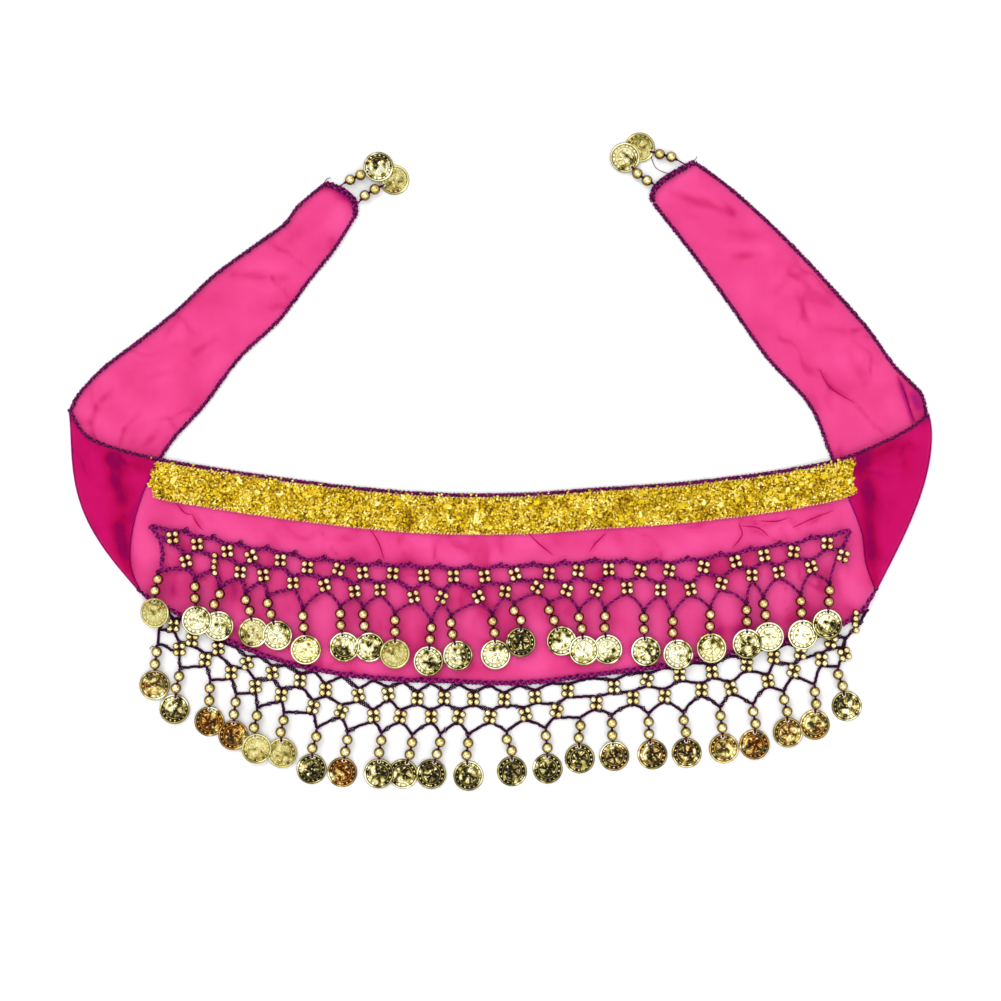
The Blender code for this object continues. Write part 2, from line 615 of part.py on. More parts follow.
def make_end_drops(name, sections, drops, look):
    """Two coin drops on the thread that edges a tie's end."""
    last = sections[-1]
    top, low = Vector((last.top_x, last.top_y)), Vector((last.low_x, last.low_y))
    along = (low - top).normalized()
    out = Vector((-along.y, along.x))
    beads = Vector((drops[0].bead1_x, drops[0].bead1_y))
    if out.dot(beads - top) < 0:
        out = -out
    bow = Vector((last.bow, 0.0))
    points = [top + out * END_THREAD_OUT, (top + low) / 2 + out * END_THREAD_OUT + bow,
              low + out * END_THREAD_OUT]
    strand_data, coin_data = bmesh.new(), bmesh.new()
    for drop in drops:
        aim = Vector((drop.x, drop.y))
        start = nearest_on_path(aim, points)
        beads = (Vector((drop.bead1_x, drop.bead1_y)), Vector((drop.bead2_x, drop.bead2_y)))
        coin = Vector((drop.coin_x, drop.coin_y))
        base = COIN_LIFT + drop.layer * (COIN_THICK + GAP)
        add_strand(strand_data, start, beads, coin, CHAIN_LIFT + THREAD_RADIUS, 0.0, base)
        add_coin(coin_data, coin, base)
    body = make_chain(name, [tuple(point) for point in points], on_surface, 0, look)
    union(body, finish_mesh(f"{name}_strands", strand_data, None),
          finish_mesh(f"{name}_coins", coin_data, None))
    return body


def nearest_on_path(point, path):
    best = None
    for start, end in zip(path, path[1:]):
        away, share = segment_distance(point, start, end)
        if best is None or away < best[0]:
            best = (away, start + (end - start) * share)
    return best[1]


def main():
    clear_scene()
    cloth = material("sash_cloth", (0.87, 0.06, 0.26), 0.7)
    glitter = material("sequin_gold", (0.72, 0.46, 0.02), 0.3, 0.8)
    trim = material("coin_gold", (0.60, 0.46, 0.16), 0.3, 1.0)
    make_panel(cloth)
    make_tie("tie_left", LEFT_TIE, LEFT_RIDGES, -1, cloth)
    make_tie("tie_right", RIGHT_TIE, RIGHT_RIDGES, 1, cloth)
    make_band(glitter)
    make_upper_trim(trim)
    make_lower_trim(trim)
    make_end_drops("end_drops_left", LEFT_TIE, LEFT_END_DROPS, trim)
    make_end_drops("end_drops_right", RIGHT_TIE, RIGHT_END_DROPS, trim)


main()
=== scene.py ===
"""Looks of the dog sequin hip scarf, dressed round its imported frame.

Tables and lengths are in millimetres in the frame's own axes: x to the right along the
panel, y from the trims towards the ties' ends, z up from the surface.
"""
import math
from collections import namedtuple

import bpy
import numpy as np
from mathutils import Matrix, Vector, noise


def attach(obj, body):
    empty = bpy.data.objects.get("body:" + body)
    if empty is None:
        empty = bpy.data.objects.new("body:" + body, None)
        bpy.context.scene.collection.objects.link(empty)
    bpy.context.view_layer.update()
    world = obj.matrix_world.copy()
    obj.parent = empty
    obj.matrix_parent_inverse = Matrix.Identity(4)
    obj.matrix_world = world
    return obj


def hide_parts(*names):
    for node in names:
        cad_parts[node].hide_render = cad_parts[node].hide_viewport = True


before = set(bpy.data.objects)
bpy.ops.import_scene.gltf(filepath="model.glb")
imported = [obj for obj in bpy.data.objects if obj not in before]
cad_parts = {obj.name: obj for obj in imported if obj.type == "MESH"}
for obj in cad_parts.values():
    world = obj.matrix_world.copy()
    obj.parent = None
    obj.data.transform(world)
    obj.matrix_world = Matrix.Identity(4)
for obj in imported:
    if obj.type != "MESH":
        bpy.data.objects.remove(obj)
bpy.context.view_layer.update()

MM = 0.001
BODY = "root"
RANDOM = np.random.default_rng(41)

# Cloth
LAYER_Z = 0.50                # middle of the cloth where it lies on the surface
PANEL_Z = 0.72
TOP_LAYER_Z = 1.85            # middle of the panel over a tie
SASH_THICK = 0.26
LOWEST_CLOTH = 0.3
FOLD_RADIUS = (TOP_LAYER_Z - LAYER_Z) / 2
FULL_LIFT_REACH = 8.0
LIFT_RAMP = 16.0
NO_LIFT_WITHIN = 140.0        # nearer the middle than this, no tie lies under the panel

# Trims
TRIM_LIFT = 1.3               # how far a tie below lifts what is sewn on the panel
TRIM_ON_CLOTH = 1.2
BAND_ON_CLOTH = 1.15
GAP = 0.3
COIN_THICK = 0.7
BAND_WIDTH = 19.3
BAND_INSET = 1.9
BAND_LEFT_X, BAND_RIGHT_X = -190.0, 194.5
COIN_RADIUS = 8.25
COIN_HOLE_INSET = 1.7
CLUSTER_SIZE = 6.8
CLUSTER_TUCK = 3.2
CLUSTER_HEIGHT = 3.0
CHAIN_RISE = 5.0
HEM_CLEARANCE = 1.3
THREAD_LEAD = 4.2
NET_MARGIN = 4.0
BEAD_RADIUS = 3.0
SMALL_BEAD_RADIUS = 1.90
UPPER_BEAD_STEP, UPPER_COIN_STEP = 6.3, 12.2
LOWER_BEAD_STEP, LOWER_COIN_STEP = 6.7, 11.7

Section = namedtuple("Section", "top_x top_y low_x low_y bow")

PANEL = [Section(*row) for row in (
    (-235.4, 28.0, -197.4, -70.4, -13.1), (-227.3, 15.0, -190.2, -77.0, -9.0),
    (-213.0, 8.2, -180.1, -81.6, -4.8), (-188.1, 1.7, -164.5, -90.8, -1.5),
    (-150.0, -4.8, -138.0, -103.2, 0.0), (-112.0, -10.3, -108.0, -112.9, 0.0),
    (-70.0, -15.2, -70.0, -118.9, 0.0), (-28.0, -17.9, -28.0, -120.9, 0.0),
    (14.0, -17.7, 12.0, -121.8, 0.0), (56.0, -14.9, 52.0, -117.4, 0.0), (96.0, -12.2, 90.0, -112.4, 0.0),
    (135.0, -7.9, 126.0, -105.6, 0.0), (166.0, -3.2, 158.0, -98.8, 0.8), (189.0, 2.0, 183.0, -92.0, 2.4),
    (211.0, 10.8, 197.0, -84.3, 4.6), (226.0, 18.6, 203.4, -76.4, 6.8), (235.0, 25.5, 206.8, -69.9, 8.6),
)]
# Each tie starts where the panel ends, at its fold
LEFT_TIE = [PANEL[0]] + [Section(*row) for row in (
    (-232.5, 34.5, -202.6, -56.0, -11.4), (-226.5, 42.3, -201.2, -36.0, -8.0),
    (-214.0, 54.2, -194.0, -13.0, -4.0), (-197.0, 66.9, -181.0, 10.0, -1.0),
    (-177.7, 82.3, -162.0, 31.5, 0.0), (-157.0, 101.8, -143.0, 56.8, 0.0),
    (-136.0, 117.4, -121.0, 77.9, 0.0), (-118.0, 130.3, -103.5, 100.8, 0.0),
    (-109.8, 141.0, -90.8, 116.6, 0.0), (-95.2, 152.9, -78.9, 135.4, 7.0),
)]
RIGHT_TIE = [PANEL[-1]] + [Section(*row) for row in (
    (233.0, 35.2, 201.8, -56.0, 7.3), (228.6, 41.3, 199.2, -38.0, 5.5), (217.0, 53.0, 191.0, -17.0, 3.0),
    (203.0, 72.4, 181.5, 6.5, 1.0), (186.0, 92.0, 170.5, 31.8, 0.0), (168.0, 111.5, 147.5, 57.4, 0.0),
    (149.0, 130.5, 127.0, 86.5, 0.0), (128.5, 149.0, 108.0, 112.5, 0.0), (107.3, 164.8, 84.2, 143.0, -6.6),
)]
LEFT_BOW_PEAK = 0.55          # where across the cloth a fold bulges most
RIGHT_BOW_PEAK = 0.40
OUTLINE_STEPS = 10

# Creases of the cloth: ridges stand up, and troughs have a negative height
Crease = namedtuple("Crease", "x1 y1 x2 y2 width height")

PANEL_CREASES = [Crease(*row) for row in (
    (-177, -21, -172, -29, 2.2, 1.0), (-168, -28, -162, -38, 2.2, 1.1), (-126, -41, -120, -47, 2.6, 0.7),
    (-97, -37, -96, -50, 2.4, 0.7), (-89, -43, -78, -41, 3.2, 0.9), (-82, -37, -74, -37, 2.4, 1.0),
    (-70, -36, -64, -53, 2.6, 0.8), (-30, -36, -14, -36, 3.0, 0.6), (-2, -47, 0, -40, 2.2, 0.8),
    (0, -40, 8, -38, 2.2, 0.9), (16, -38, 30, -51, 2.4, 0.8), (50, -50, 53, -44, 2.2, 1.0),
    (53, -44, 59, -38, 2.2, 1.0), (62, -36, 70, -46, 5.0, 0.7), (72, -37, 74, -45, 2.4, 0.7),
    (100, -36, 118, -38, 4.0, 0.5), (133, -33, 133, -41, 2.0, 1.3), (133, -41, 128, -48, 2.0, 1.2),
    (134, -32, 146, -35, 2.0, 1.2), (146, -35, 155, -31, 2.0, 1.2), (137, -37, 148, -40, 2.0, 1.0),
    (159, -29, 164, -37, 2.2, 1.2), (170, -34, 177, -29, 2.2, 1.2), (177, -29, 184, -26, 2.2, 1.1),
    (150, -42, 178, -39, 3.0, 0.9), (-150, -40, -130, -44, 4.0, -0.5), (-50, -42, -36, -46, 4.0, -0.5),
    (84, -42, 98, -46, 4.0, -0.5), (-166, -84, -120, -104, 4.0, 0.8), (-110, -96, -60, -110, 5.0, 0.8),
    (-30, -104, 20, -112, 5.0, -0.7), (-14, -96, 4, -104, 3.5, 0.9), (40, -108, 96, -98, 5.0, 0.8),
    (110, -94, 160, -86, 5.0, 0.8), (-132, -84, -128, -98, 3.5, 0.9), (118, -78, 124, -96, 3.5, 0.9),
    (180, -60, 192, -80, 4.5, 0.9), (-184, -60, -176, -78, 4.5, 0.5),
)]
# Sharp pinches, where the cloth stands up double along a thin line
Pinch = namedtuple("Pinch", "x1 y1 x2 y2 x3 y3")

PINCHES = [Pinch(*row) for row in (
    (-177.5, -22.5, -172.5, -28.0, -168.5, -28.8), (-168.5, -28.8, -166.0, -33.5, -162.8, -37.6),
    (-71.0, -36.8, -66.5, -43.7, -63.2, -53.2), (15.7, -38.6, 21.9, -44.9, 29.7, -51.1),
    (131.6, -33.5, 133.5, -40.1, 128.4, -47.1), (176.0, 51.0, 181.6, 41.0, 194.5, 32.8),
    (133.7, -35.2, 142.5, -36.3, 148.0, -40.7), (161.2, -36.3, 171.0, -31.6, 183.2, -26.8),
    (143.6, -32.4, 152.4, -32.6, 159.0, -30.6), (50.0, -49.3, 52.8, -44.9, 58.7, -39.2),
    (218.9, 46.8, 222.6, 38.0, 228.0, 22.4),
)]
PINCH_RADIUS = 0.42
PINCH_LIFT = 0.35
TAPER_START = 0.12            # in radians of half a turn
THREAD_STEP = 0.8
FOLD_EDGE_RADIUS = 0.38

# Creases in the folded flaps; their shade also paints the dark shadows in the flaps.
FLAP_CREASES = [Crease(*row) for row in (
    (-214, 2, -207, -19, 8.0, 1.7), (-212, 2, -192, -5, 6.0, 1.6), (-209, -36, -203, -60, 8.0, 1.5),
    (-206, -14, -207, -36, 7.0, 0.8), (-230, 14, -224, -24, 9.0, -1.2), (-222, -26, -210, -54, 6.0, -0.9),
    (227, 8, 221, -14, 5.0, 0.6), (215, 8, 206, -20, 7.0, 0.7), (202, -18, 206, -64, 7.0, 1.7),
    (198, 4, 203, -18, 8.0, 1.6), (198, 3, 222, 9, 6.5, 1.1), (226, -14, 213, -54, 7.0, -0.6),
)]
TIE_CREASES = [Crease(*row) for row in (
    (-146, 103, -118, 101, 3.6, 1.5), (-121, 117, -92, 141, 6.5, 0.9), (-184, 68, -175, 81, 3.2, 1.0),
    (-167, 60, -156, 68, 3.0, 1.0), (-195, 45, -177, 51, 3.0, 0.9), (-224, 22, -221, 31, 2.6, 1.2),
    (-221, 31, -213, 39, 2.6, 1.1), (-209, 9, -206, 18, 2.4, 1.3), (-206, 18, -198, 27, 2.4, 1.1),
    (-195, 9, -187, 18, 2.6, 0.9), (-182, 25, -176, 15, 2.2, 1.0), (-140, 88, -122, 94, 6.0, -0.5),
    (-205, 62, -190, 56, 5.0, -0.4), (-168, 44, -150, 58, 6.0, -0.5), (95, 148, 128, 137, 3.2, 1.2),
    (121, 147, 129, 136, 2.6, 0.5), (127, 125, 149, 125, 5.5, 0.9), (129, 113, 143, 114, 3.4, 1.3),
    (152, 93, 159, 102, 3.0, 1.1), (159, 102, 169, 103, 3.0, 1.2), (164, 93, 170, 75, 3.0, 1.0),
    (170, 75, 194, 71, 4.0, 0.9), (176, 51, 182, 41, 1.9, 1.2), (182, 41, 195, 33, 1.9, 1.1),
    (195, 33, 206, 20, 1.9, 1.1), (206, 20, 212, 16, 1.9, 1.0), (191, 61, 201, 44, 4.0, 1.0),
    (194, 72, 201, 73, 1.6, 1.4), (219, 47, 228, 21, 1.9, 2.0), (150, 84, 176, 58, 6.0, -0.5),
    (110, 128, 122, 112, 5.0, -0.4),
)]
# Cloth that lies double under the ends' and the flap's hems, darker where it shows
HEM_PATCHES = [Crease(*row) for row in (
    (-94, 153, -73, 138, 6.0, 2.4), (77, 148, 101, 167, 6.0, 2.4), (226, 42, 232, 26, 10.0, 2.2),
)]

Repeat = namedtuple("Repeat", "x1 y1 x2 y2 bead_x bead_y bead_swing coin_swing layer tone")

UPPER_TRIM = [Repeat(*row) for row in (
    (-179.0, -41.5, -171.7, -54.5, -186.8, -64.4, -15, 0, 0, "gold"),
    (-165.6, -45.1, -156.2, -56.1, -166.7, -68.4, 0, 5, 1, "pale"),
    (-149.1, -49.0, -141.9, -60.5, -153.1, -72.5, -28, 11, 0, "pale"),
    (-135.9, -51.7, -129.3, -62.2, -138.9, -75.7, 20, 9, 0, "golden"),
    (-119.9, -53.9, -113.0, -66.4, -126.8, -77.4, 16, 16, 1, "pale"),
    (-105.1, -57.8, -95.7, -67.7, -107.5, -84.5, 4, 6, 0, "golden"),
    (-88.0, -58.9, -79.2, -71.0, -87.0, -83.2, 2, 9, 1, "half"),
    (-74.8, -60.8, -65.2, -70.2, -74.5, -83.6, 6, 13, 0, "half"),
    (-58.3, -61.1, -46.8, -74.0, -57.1, -86.8, 1, -1, 1, "gold"),
    (-41.3, -62.2, -31.4, -74.3, -37.1, -90.9, -7, -4, 0, "half"),
    (-25.0, -62.7, -11.3, -74.0, -26.4, -88.2, 8, 14, 1, "half"),
    (-7.9, -62.7, 3.3, -71.1, -3.6, -87.4, 10, 3, 0, "pale"),
    (8.8, -61.6, 20.9, -68.8, 8.3, -81.6, 36, 0, 1, "dark"),
    (27.4, -61.1, 37.2, -70.3, 27.4, -81.2, 26, 20, 0, "half"),
    (43.5, -59.7, 53.4, -70.4, 43.8, -85.2, 14, 6, 1, "pale"),
    (60.2, -58.9, 70.3, -69.1, 58.1, -84.6, -2, 8, 0, "pale"),
    (77.6, -59.7, 88.6, -70.3, 79.4, -85.5, 0, 6, 0, "half"),
    (93.5, -59.4, 105.2, -69.9, 95.2, -87.3, 0, 14, 1, "silver"),
    (112.2, -57.5, 122.1, -66.7, 115.8, -83.7, -2, 5, 0, "golden"),
    (129.8, -54.6, 138.8, -62.2, 135.6, -81.2, 2, 1, 1, "half"),
    (145.5, -51.2, 153.5, -60.4, 145.0, -77.7, 10, 9, 0, "silver"),
    (161.7, -49.2, 171.4, -57.5, 165.4, -76.3, 3, 4, 0, "silver"),
    (179.9, -44.6, 188.7, -51.5, 181.2, -70.4, -4, -4, 1, "half"),
)]
LOWER_TRIM = [Repeat(*row) for row in (
    (-178.8, -89.7, -175.5, -102.9, -187.8, -104.3, -8, -2, 0, "ochre"),
    (-168.6, -97.7, -161.3, -108.6, -175.5, -117.6, -15, -5, 1, "dusk"),
    (-154.2, -102.4, -147.1, -115.7, -158.7, -124.2, -2, -1, 0, "rust"),
    (-138.5, -110.5, -133.8, -123.3, -144.5, -131.8, -8, -3, 1, "rust"),
    (-124.5, -115.7, -119.6, -128.0, -132.8, -139.2, -14, 7, 2, "gold"),
    (-109.2, -119.9, -102.1, -134.6, -118.2, -141.7, -14, 3, 1, "gold"),
    (-95.2, -125.1, -86.6, -137.0, -100.2, -150.7, -19, -3, 0, "dark"),
    (-77.2, -128.0, -68.9, -139.4, -83.2, -152.4, -10, -9, 0, "rust"),
    (-60.8, -127.3, -54.2, -139.7, -64.6, -152.8, -10, -1, 1, "dusk"),
    (-44.8, -129.7, -37.2, -139.9, -47.7, -153.9, -11, -19, 0, "dusk"),
    (-30.1, -129.5, -22.1, -139.9, -32.3, -153.7, -15, -16, 1, "dark"),
    (-14.0, -130.0, -4.8, -139.9, -16.9, -154.2, -8, 5, 0, "dusk"),
    (2.9, -130.3, 14.6, -138.5, 4.3, -152.2, 23, 1, 0, "dark"),
    (19.8, -129.0, 31.6, -136.6, 25.7, -150.2, 7, 1, 0, "dark"),
    (37.8, -125.6, 53.4, -132.4, 44.7, -144.7, -8, 3, 0, "dark"),
    (63.2, -123.4, 73.6, -129.5, 61.9, -143.3, 2, 6, 0, "warm"),
    (81.3, -119.7, 91.0, -128.5, 82.1, -142.6, 2, 10, 0, "warm"),
    (99.2, -116.6, 111.3, -125.1, 101.3, -141.7, 11, 3, 0, "warm"),
    (117.0, -115.2, 127.4, -124.2, 121.5, -139.2, 8, 6, 0, "ochre"),
    (136.0, -111.4, 147.8, -120.2, 139.5, -137.0, 11, -2, 0, "rust"),
    (150.9, -107.1, 161.7, -114.7, 156.5, -130.4, 14, 3, 1, "ochre"),
    (165.6, -104.8, 177.2, -108.6, 173.3, -126.1, 6, -2, 0, "ochre"),
    (182.4, -98.6, 189.8, -105.6, 186.1, -116.6, 21, 13, 0, "dusk"),
)]
# Soft pulls in the panel beside its drops
PANEL_CREASES += [Crease(r.x1 + 5, r.y1 - 6, r.bead_x + 6, r.bead_y - 14, 3.2, 0.65)
                  for r in UPPER_TRIM[::2]]
PANEL_CREASES += [Crease(r.x2 + 3, r.y2 - 4, r.bead_x + 9, r.bead_y - 8, 3.0, 0.6)
                  for r in UPPER_TRIM[1::3]]

UPPER_LEFT_EDGE = [(-191.5, -35.2), (-185.8, -41.5), (-184.4, -51.5), (-185.4, -60.0)]
UPPER_RIGHT_EDGE = [(192.6, -37.5), (189.0, -46.0)]
LOWER_LEFT_EDGE = [(-182.4, -82.2), (-186.6, -92.0), (-187.4, -99.8)]
LOWER_RIGHT_EDGE = [(203.0, -81.0), (196.5, -91.0), (190.5, -96.6), (186.4, -112.8)]

EndDrop = namedtuple("EndDrop", "x y bead1_x bead1_y bead2_x bead2_y coin_x coin_y layer tone")

LEFT_END_DROPS = [EndDrop(*row) for row in (
    (-87.6, 151.4, -81.6, 154.8, -76.0, 157.4, -66.2, 162.0, 1, "half"),
    (-78.0, 141.6, -73.6, 146.2, -68.2, 149.6, -57.6, 155.1, 0, "gold"),
)]
RIGHT_END_DROPS = [EndDrop(*row) for row in (
    (103.2, 162.8, 94.5, 167.4, 88.2, 168.8, 77.4, 172.9, 0, "gold"),
    (86.6, 151.6, 81.2, 154.4, 75.9, 158.2, 69.2, 167.2, 1, "golden"),
)]
END_THREAD_OUT = 1.1


# Shared geometry

def smoothstep(low, high, value):
    share = min(max((value - low) / (high - low), 0.0), 1.0)
    return share * share * (3 - 2 * share)


def spline(rows, share):
    """A smooth curve through equal-length rows of numbers, share from 0 to 1."""
    span = share * (len(rows) - 1)
    index = min(int(span), len(rows) - 2)
    t = span - index
    before, after = rows[max(index - 1, 0)], rows[min(index + 2, len(rows) - 1)]
    start, end = rows[index], rows[index + 1]
    return [b + 0.5 * t * (c - a + t * (2 * a - 5 * b + 4 * c - d + t * (3 * (b - c) + d - a)))
            for a, b, c, d in zip(before, start, end, after)]


def cloth_point(sections, along, across):
    """The plan point at a share of the length and a share of the width."""
    row = Section(*spline(sections, along))
    peak = LEFT_BOW_PEAK if row.bow < 0 else RIGHT_BOW_PEAK
    power = math.log(0.5) / math.log(peak)
    bulge = row.bow * math.sin(math.pi * across ** power)
    return Vector((row.top_x + (row.low_x - row.top_x) * across + bulge,
                   row.top_y + (row.low_y - row.top_y) * across))


def tie_outline(sections):
    fold = [cloth_point(sections, 0.0, i / OUTLINE_STEPS) for i in range(OUTLINE_STEPS + 1)]
    low = [Vector((s.low_x, s.low_y)) for s in sections[1:]]
    top = [Vector((s.top_x, s.top_y)) for s in reversed(sections[1:])]
    return fold + low + top


def segment_distance(point, start, end):
    line = end - start
    share = min(max((point - start).dot(line) / line.length_squared, 0.0), 1.0)
    return (point - start - line * share).length, share


def outline_distance(point, corners):
    """Distance from a plan point to an outline, 0 inside it."""
    inside = False
    nearest = math.inf
    for start, end in zip(corners, corners[1:] + corners[:1]):
        nearest = min(nearest, segment_distance(point, start, end)[0])
        if (start.y > point.y) != (end.y > point.y):
            crossing = start.x + (point.y - start.y) * (end.x - start.x) / (end.y - start.y)
            inside = inside != (point.x < crossing)
    return 0.0 if inside else nearest


TIE_OUTLINES = [tie_outline(LEFT_TIE), tie_outline(RIGHT_TIE)]
PANEL_OUTLINE = ([Vector((s.top_x, s.top_y)) for s in PANEL]
                 + [cloth_point(PANEL, 1.0, i / OUTLINE_STEPS) for i in range(1, OUTLINE_STEPS)]
                 + [Vector((s.low_x, s.low_y)) for s in reversed(PANEL)]
                 + [cloth_point(PANEL, 0.0, i / OUTLINE_STEPS) for i in range(OUTLINE_STEPS - 1, 0, -1)])


def lift_share(point, margin=0.0):
    """1 where the panel lies over a tie, falling to 0 beside it."""
    if abs(point.x) < NO_LIFT_WITHIN:
        return 0.0
    near = min(outline_distance(point, corners) for corners in TIE_OUTLINES) - margin
    return 1 - smoothstep(FULL_LIFT_REACH, FULL_LIFT_REACH + LIFT_RAMP, near)


HEM_STEPS = 320
HEM_TABLE_REACH = 240         # whole millimetres to each side of the middle


def hem_at(x, across):
    """The y of the panel's hem above an x, across 0 for the top hem and 1 for the bottom."""
    points = [cloth_point(PANEL, i / HEM_STEPS, across) for i in range(HEM_STEPS + 1)]
    for start, end in zip(points, points[1:]):
        if start.x <= x <= end.x:
            return start.y + (end.y - start.y) * (x - start.x) / (end.x - start.x)
    return points[0].y if x < points[0].x else points[-1].y


HEM_TABLE = {across: [hem_at(x, across) for x in range(-HEM_TABLE_REACH, HEM_TABLE_REACH + 2)]
             for across in (0.0, 1.0)}


def hem_y(x, across):
    """The y of the panel's hem, read from the table of whole millimetres."""
    place = min(max(x + HEM_TABLE_REACH, 0), 2 * HEM_TABLE_REACH + 0.999)
    index = int(place)
    row = HEM_TABLE[across]
    return row[index] + (row[index + 1] - row[index]) * (place - index)


def on_cloth(x, y):
    return TRIM_LIFT * lift_share(Vector((x, y)), NET_MARGIN) + TRIM_ON_CLOTH


def on_surface(x, y):
    return 0.0


CREASE_REACH = 4.0            # in widths of the crease
CREASE_WANDER, CREASE_WANDER_SCALE = 2.4, 9.0
FULL_WANDER_WIDTH = 4.0
CREASE_END_SHARE = 0.12
DENSE_NARROWER = 1.6
LIGHTER_BESIDE = 0.25
BESIDE_SCALE, BESIDE_PLACE = 1.5, 2.0
WRINKLE_BEND, WRINKLE_BEND_SCALES = 6.0, (11.0, 13.0)
WRINKLE_NARROWNESS = 11
WRINKLE_PATCH, WRINKLE_PATCH_EDGE = 30.0, (-0.05, 0.3)


def ripple(point, scale, seed):
    return noise.noise(Vector((point.x / scale, point.y / scale, seed)))


def wrinkles(point, scale, seed):
    """Thin wandering lines in patches, 1 on a line and 0 between them."""
    first, second = WRINKLE_BEND_SCALES
    bent = point + Vector((ripple(point, first, seed + 4), ripple(point, second, seed + 8))) * WRINKLE_BEND
    slanted = Vector((bent.x * 0.8 + bent.y * 0.5, bent.y * 0.45 - bent.x * 0.3))
    line = 1 - abs(ripple(slanted, scale, seed)) * WRINKLE_NARROWNESS
    return max(line, 0.0) * smoothstep(*WRINKLE_PATCH_EDGE, ripple(point, WRINKLE_PATCH, seed + 2))


def crease_reach(crease, point):
    """How strongly a crease acts at a plan point, and how many widths away it lies."""
    start, end = Vector((crease.x1, crease.y1)), Vector((crease.x2, crease.y2))
    away, share = segment_distance(point, start, end)
    if away > (CREASE_REACH + 1) * crease.width:
        return 0.0, CREASE_REACH
    wander = CREASE_WANDER * ripple(point, CREASE_WANDER_SCALE, crease.x1)
    away += wander * min(crease.width / FULL_WANDER_WIDTH, 1)
    ends = math.sin(math.pi * min(max(share, CREASE_END_SHARE), 1 - CREASE_END_SHARE)) ** 0.5
    return ends, abs(away) / crease.width


def crease_height(creases, point):
    height = 0.0
    for crease in creases:
        ends, away = crease_reach(crease, point)
        if away < CREASE_REACH:
            height += crease.height * math.exp(-away ** 2) * ends
    return height


def crease_shade(creases, point):
    """Sheer cloth is painted denser along a crease and a little lighter beside it: partly the cloth seen
    through more of itself, partly painted shade of the crease with a painted lighter flank.
    """
    shade = 0.0
    for crease in creases:
        ends, away = crease_reach(crease, point)
        if away < CREASE_REACH:
            beside = LIGHTER_BESIDE * math.exp(-(BESIDE_SCALE * away - BESIDE_PLACE) ** 2)
            shade += crease.height * (math.exp(-(DENSE_NARROWER * away) ** 2) - beside) * ends
    return shade


# Mesh making

class Bag:
    """Vertices and faces of one piece, gathered from many small shapes."""

    def __init__(self):
        self.points, self.faces, self.count = [], [], 0
        self.shades, self.warmths = [], []

    def add(self, points, faces, shade=0.5, warmth=0.0):
        points = np.asarray(points, dtype=float)
        self.points.append(points)
        self.faces.extend([tuple(index + self.count for index in face) for face in faces])
        self.count += len(points)
        for values, value in ((self.shades, shade), (self.warmths, warmth)):
            values.append(np.broadcast_to(np.asarray(value, dtype=float), (len(points),)))

    def build(self, name, look, smooth=True):
        mesh = bpy.data.meshes.new(name)
        mesh.from_pydata((np.concatenate(self.points) * MM).tolist(), [], self.faces)
        for attribute, values in (("shade", self.shades), ("warmth", self.warmths)):
            colours = np.repeat(np.concatenate(values)[:, None], 4, axis=1)
            colours[:, 3] = 1.0
            layer = mesh.color_attributes.new(attribute, "FLOAT_COLOR", "POINT")
            layer.data.foreach_set("color", colours.ravel())
        mesh.polygons.foreach_set("use_smooth", [smooth] * len(mesh.polygons))
        mesh.materials.append(look)
        mesh.update()
        piece = bpy.data.objects.new(name, mesh)
        bpy.context.scene.collection.objects.link(piece)
        return piece


def grid_faces(rows, columns, wrap=False, flip=False):
    faces = []
    last = columns if wrap else columns - 1
    for i in range(rows - 1):
        for j in range(last):
            k = (j + 1) % columns
            quad = (i * columns + j, i * columns + k, (i + 1) * columns + k, (i + 1) * columns + j)
            faces.append(quad[::-1] if flip else quad)
    return faces


def frames_along(path):
    """Side and up directions that turn as little as they can along a path."""
    ahead = np.gradient(path, axis=0)
    ahead /= np.linalg.norm(ahead, axis=1)[:, None]
    side = np.cross(ahead[0], (0, 0, 1.0))
    if np.linalg.norm(side) < 1e-6:
        side = np.array((1.0, 0, 0))
    sides = np.empty_like(path)
    for i, direction in enumerate(ahead):
        side = side - direction * side.dot(direction)
        side /= np.linalg.norm(side)
        sides[i] = side
    return sides, np.cross(sides, ahead)


RESAMPLE_PIECES = 12          # for each point of the coarse path


def tube(bag, path, radius, sides=6, shade=0.5):
    """A closed round thread along a path; its ends are closed with flat caps."""
    path = np.asarray(path, dtype=float)
    side, up = frames_along(path)
    radii = np.broadcast_to(np.asarray(radius, dtype=float), (len(path),)).copy()
    turns = np.arange(sides) * math.tau / sides
    ring = np.cos(turns)[None, :, None] * side[:, None, :] + np.sin(turns)[None, :, None] * up[:, None, :]
    points = (path[:, None, :] + ring * radii[:, None, None]).reshape(-1, 3)
    faces = grid_faces(len(path), sides, wrap=True, flip=True)
    faces.append(tuple(range(sides)))
    faces.append(tuple(range(len(points) - 1, len(points) - 1 - sides, -1)))
    bag.add(points, faces, shade)


def resample(path, step):
    """Points at even spacing along a smooth curve through a coarse path, and the curve's length."""
    pieces = RESAMPLE_PIECES * len(path)
    fine = np.array([spline(path, i / pieces) for i in range(pieces + 1)])
    lengths = np.concatenate([[0], np.cumsum(np.linalg.norm(np.diff(fine, axis=0), axis=1))])
    count = max(int(round(lengths[-1] / step)), 4)
    wanted = np.linspace(0, lengths[-1], count + 1)
    return np.stack([np.interp(wanted, lengths, fine[:, axis]) for axis in range(3)], axis=1), lengths[-1]


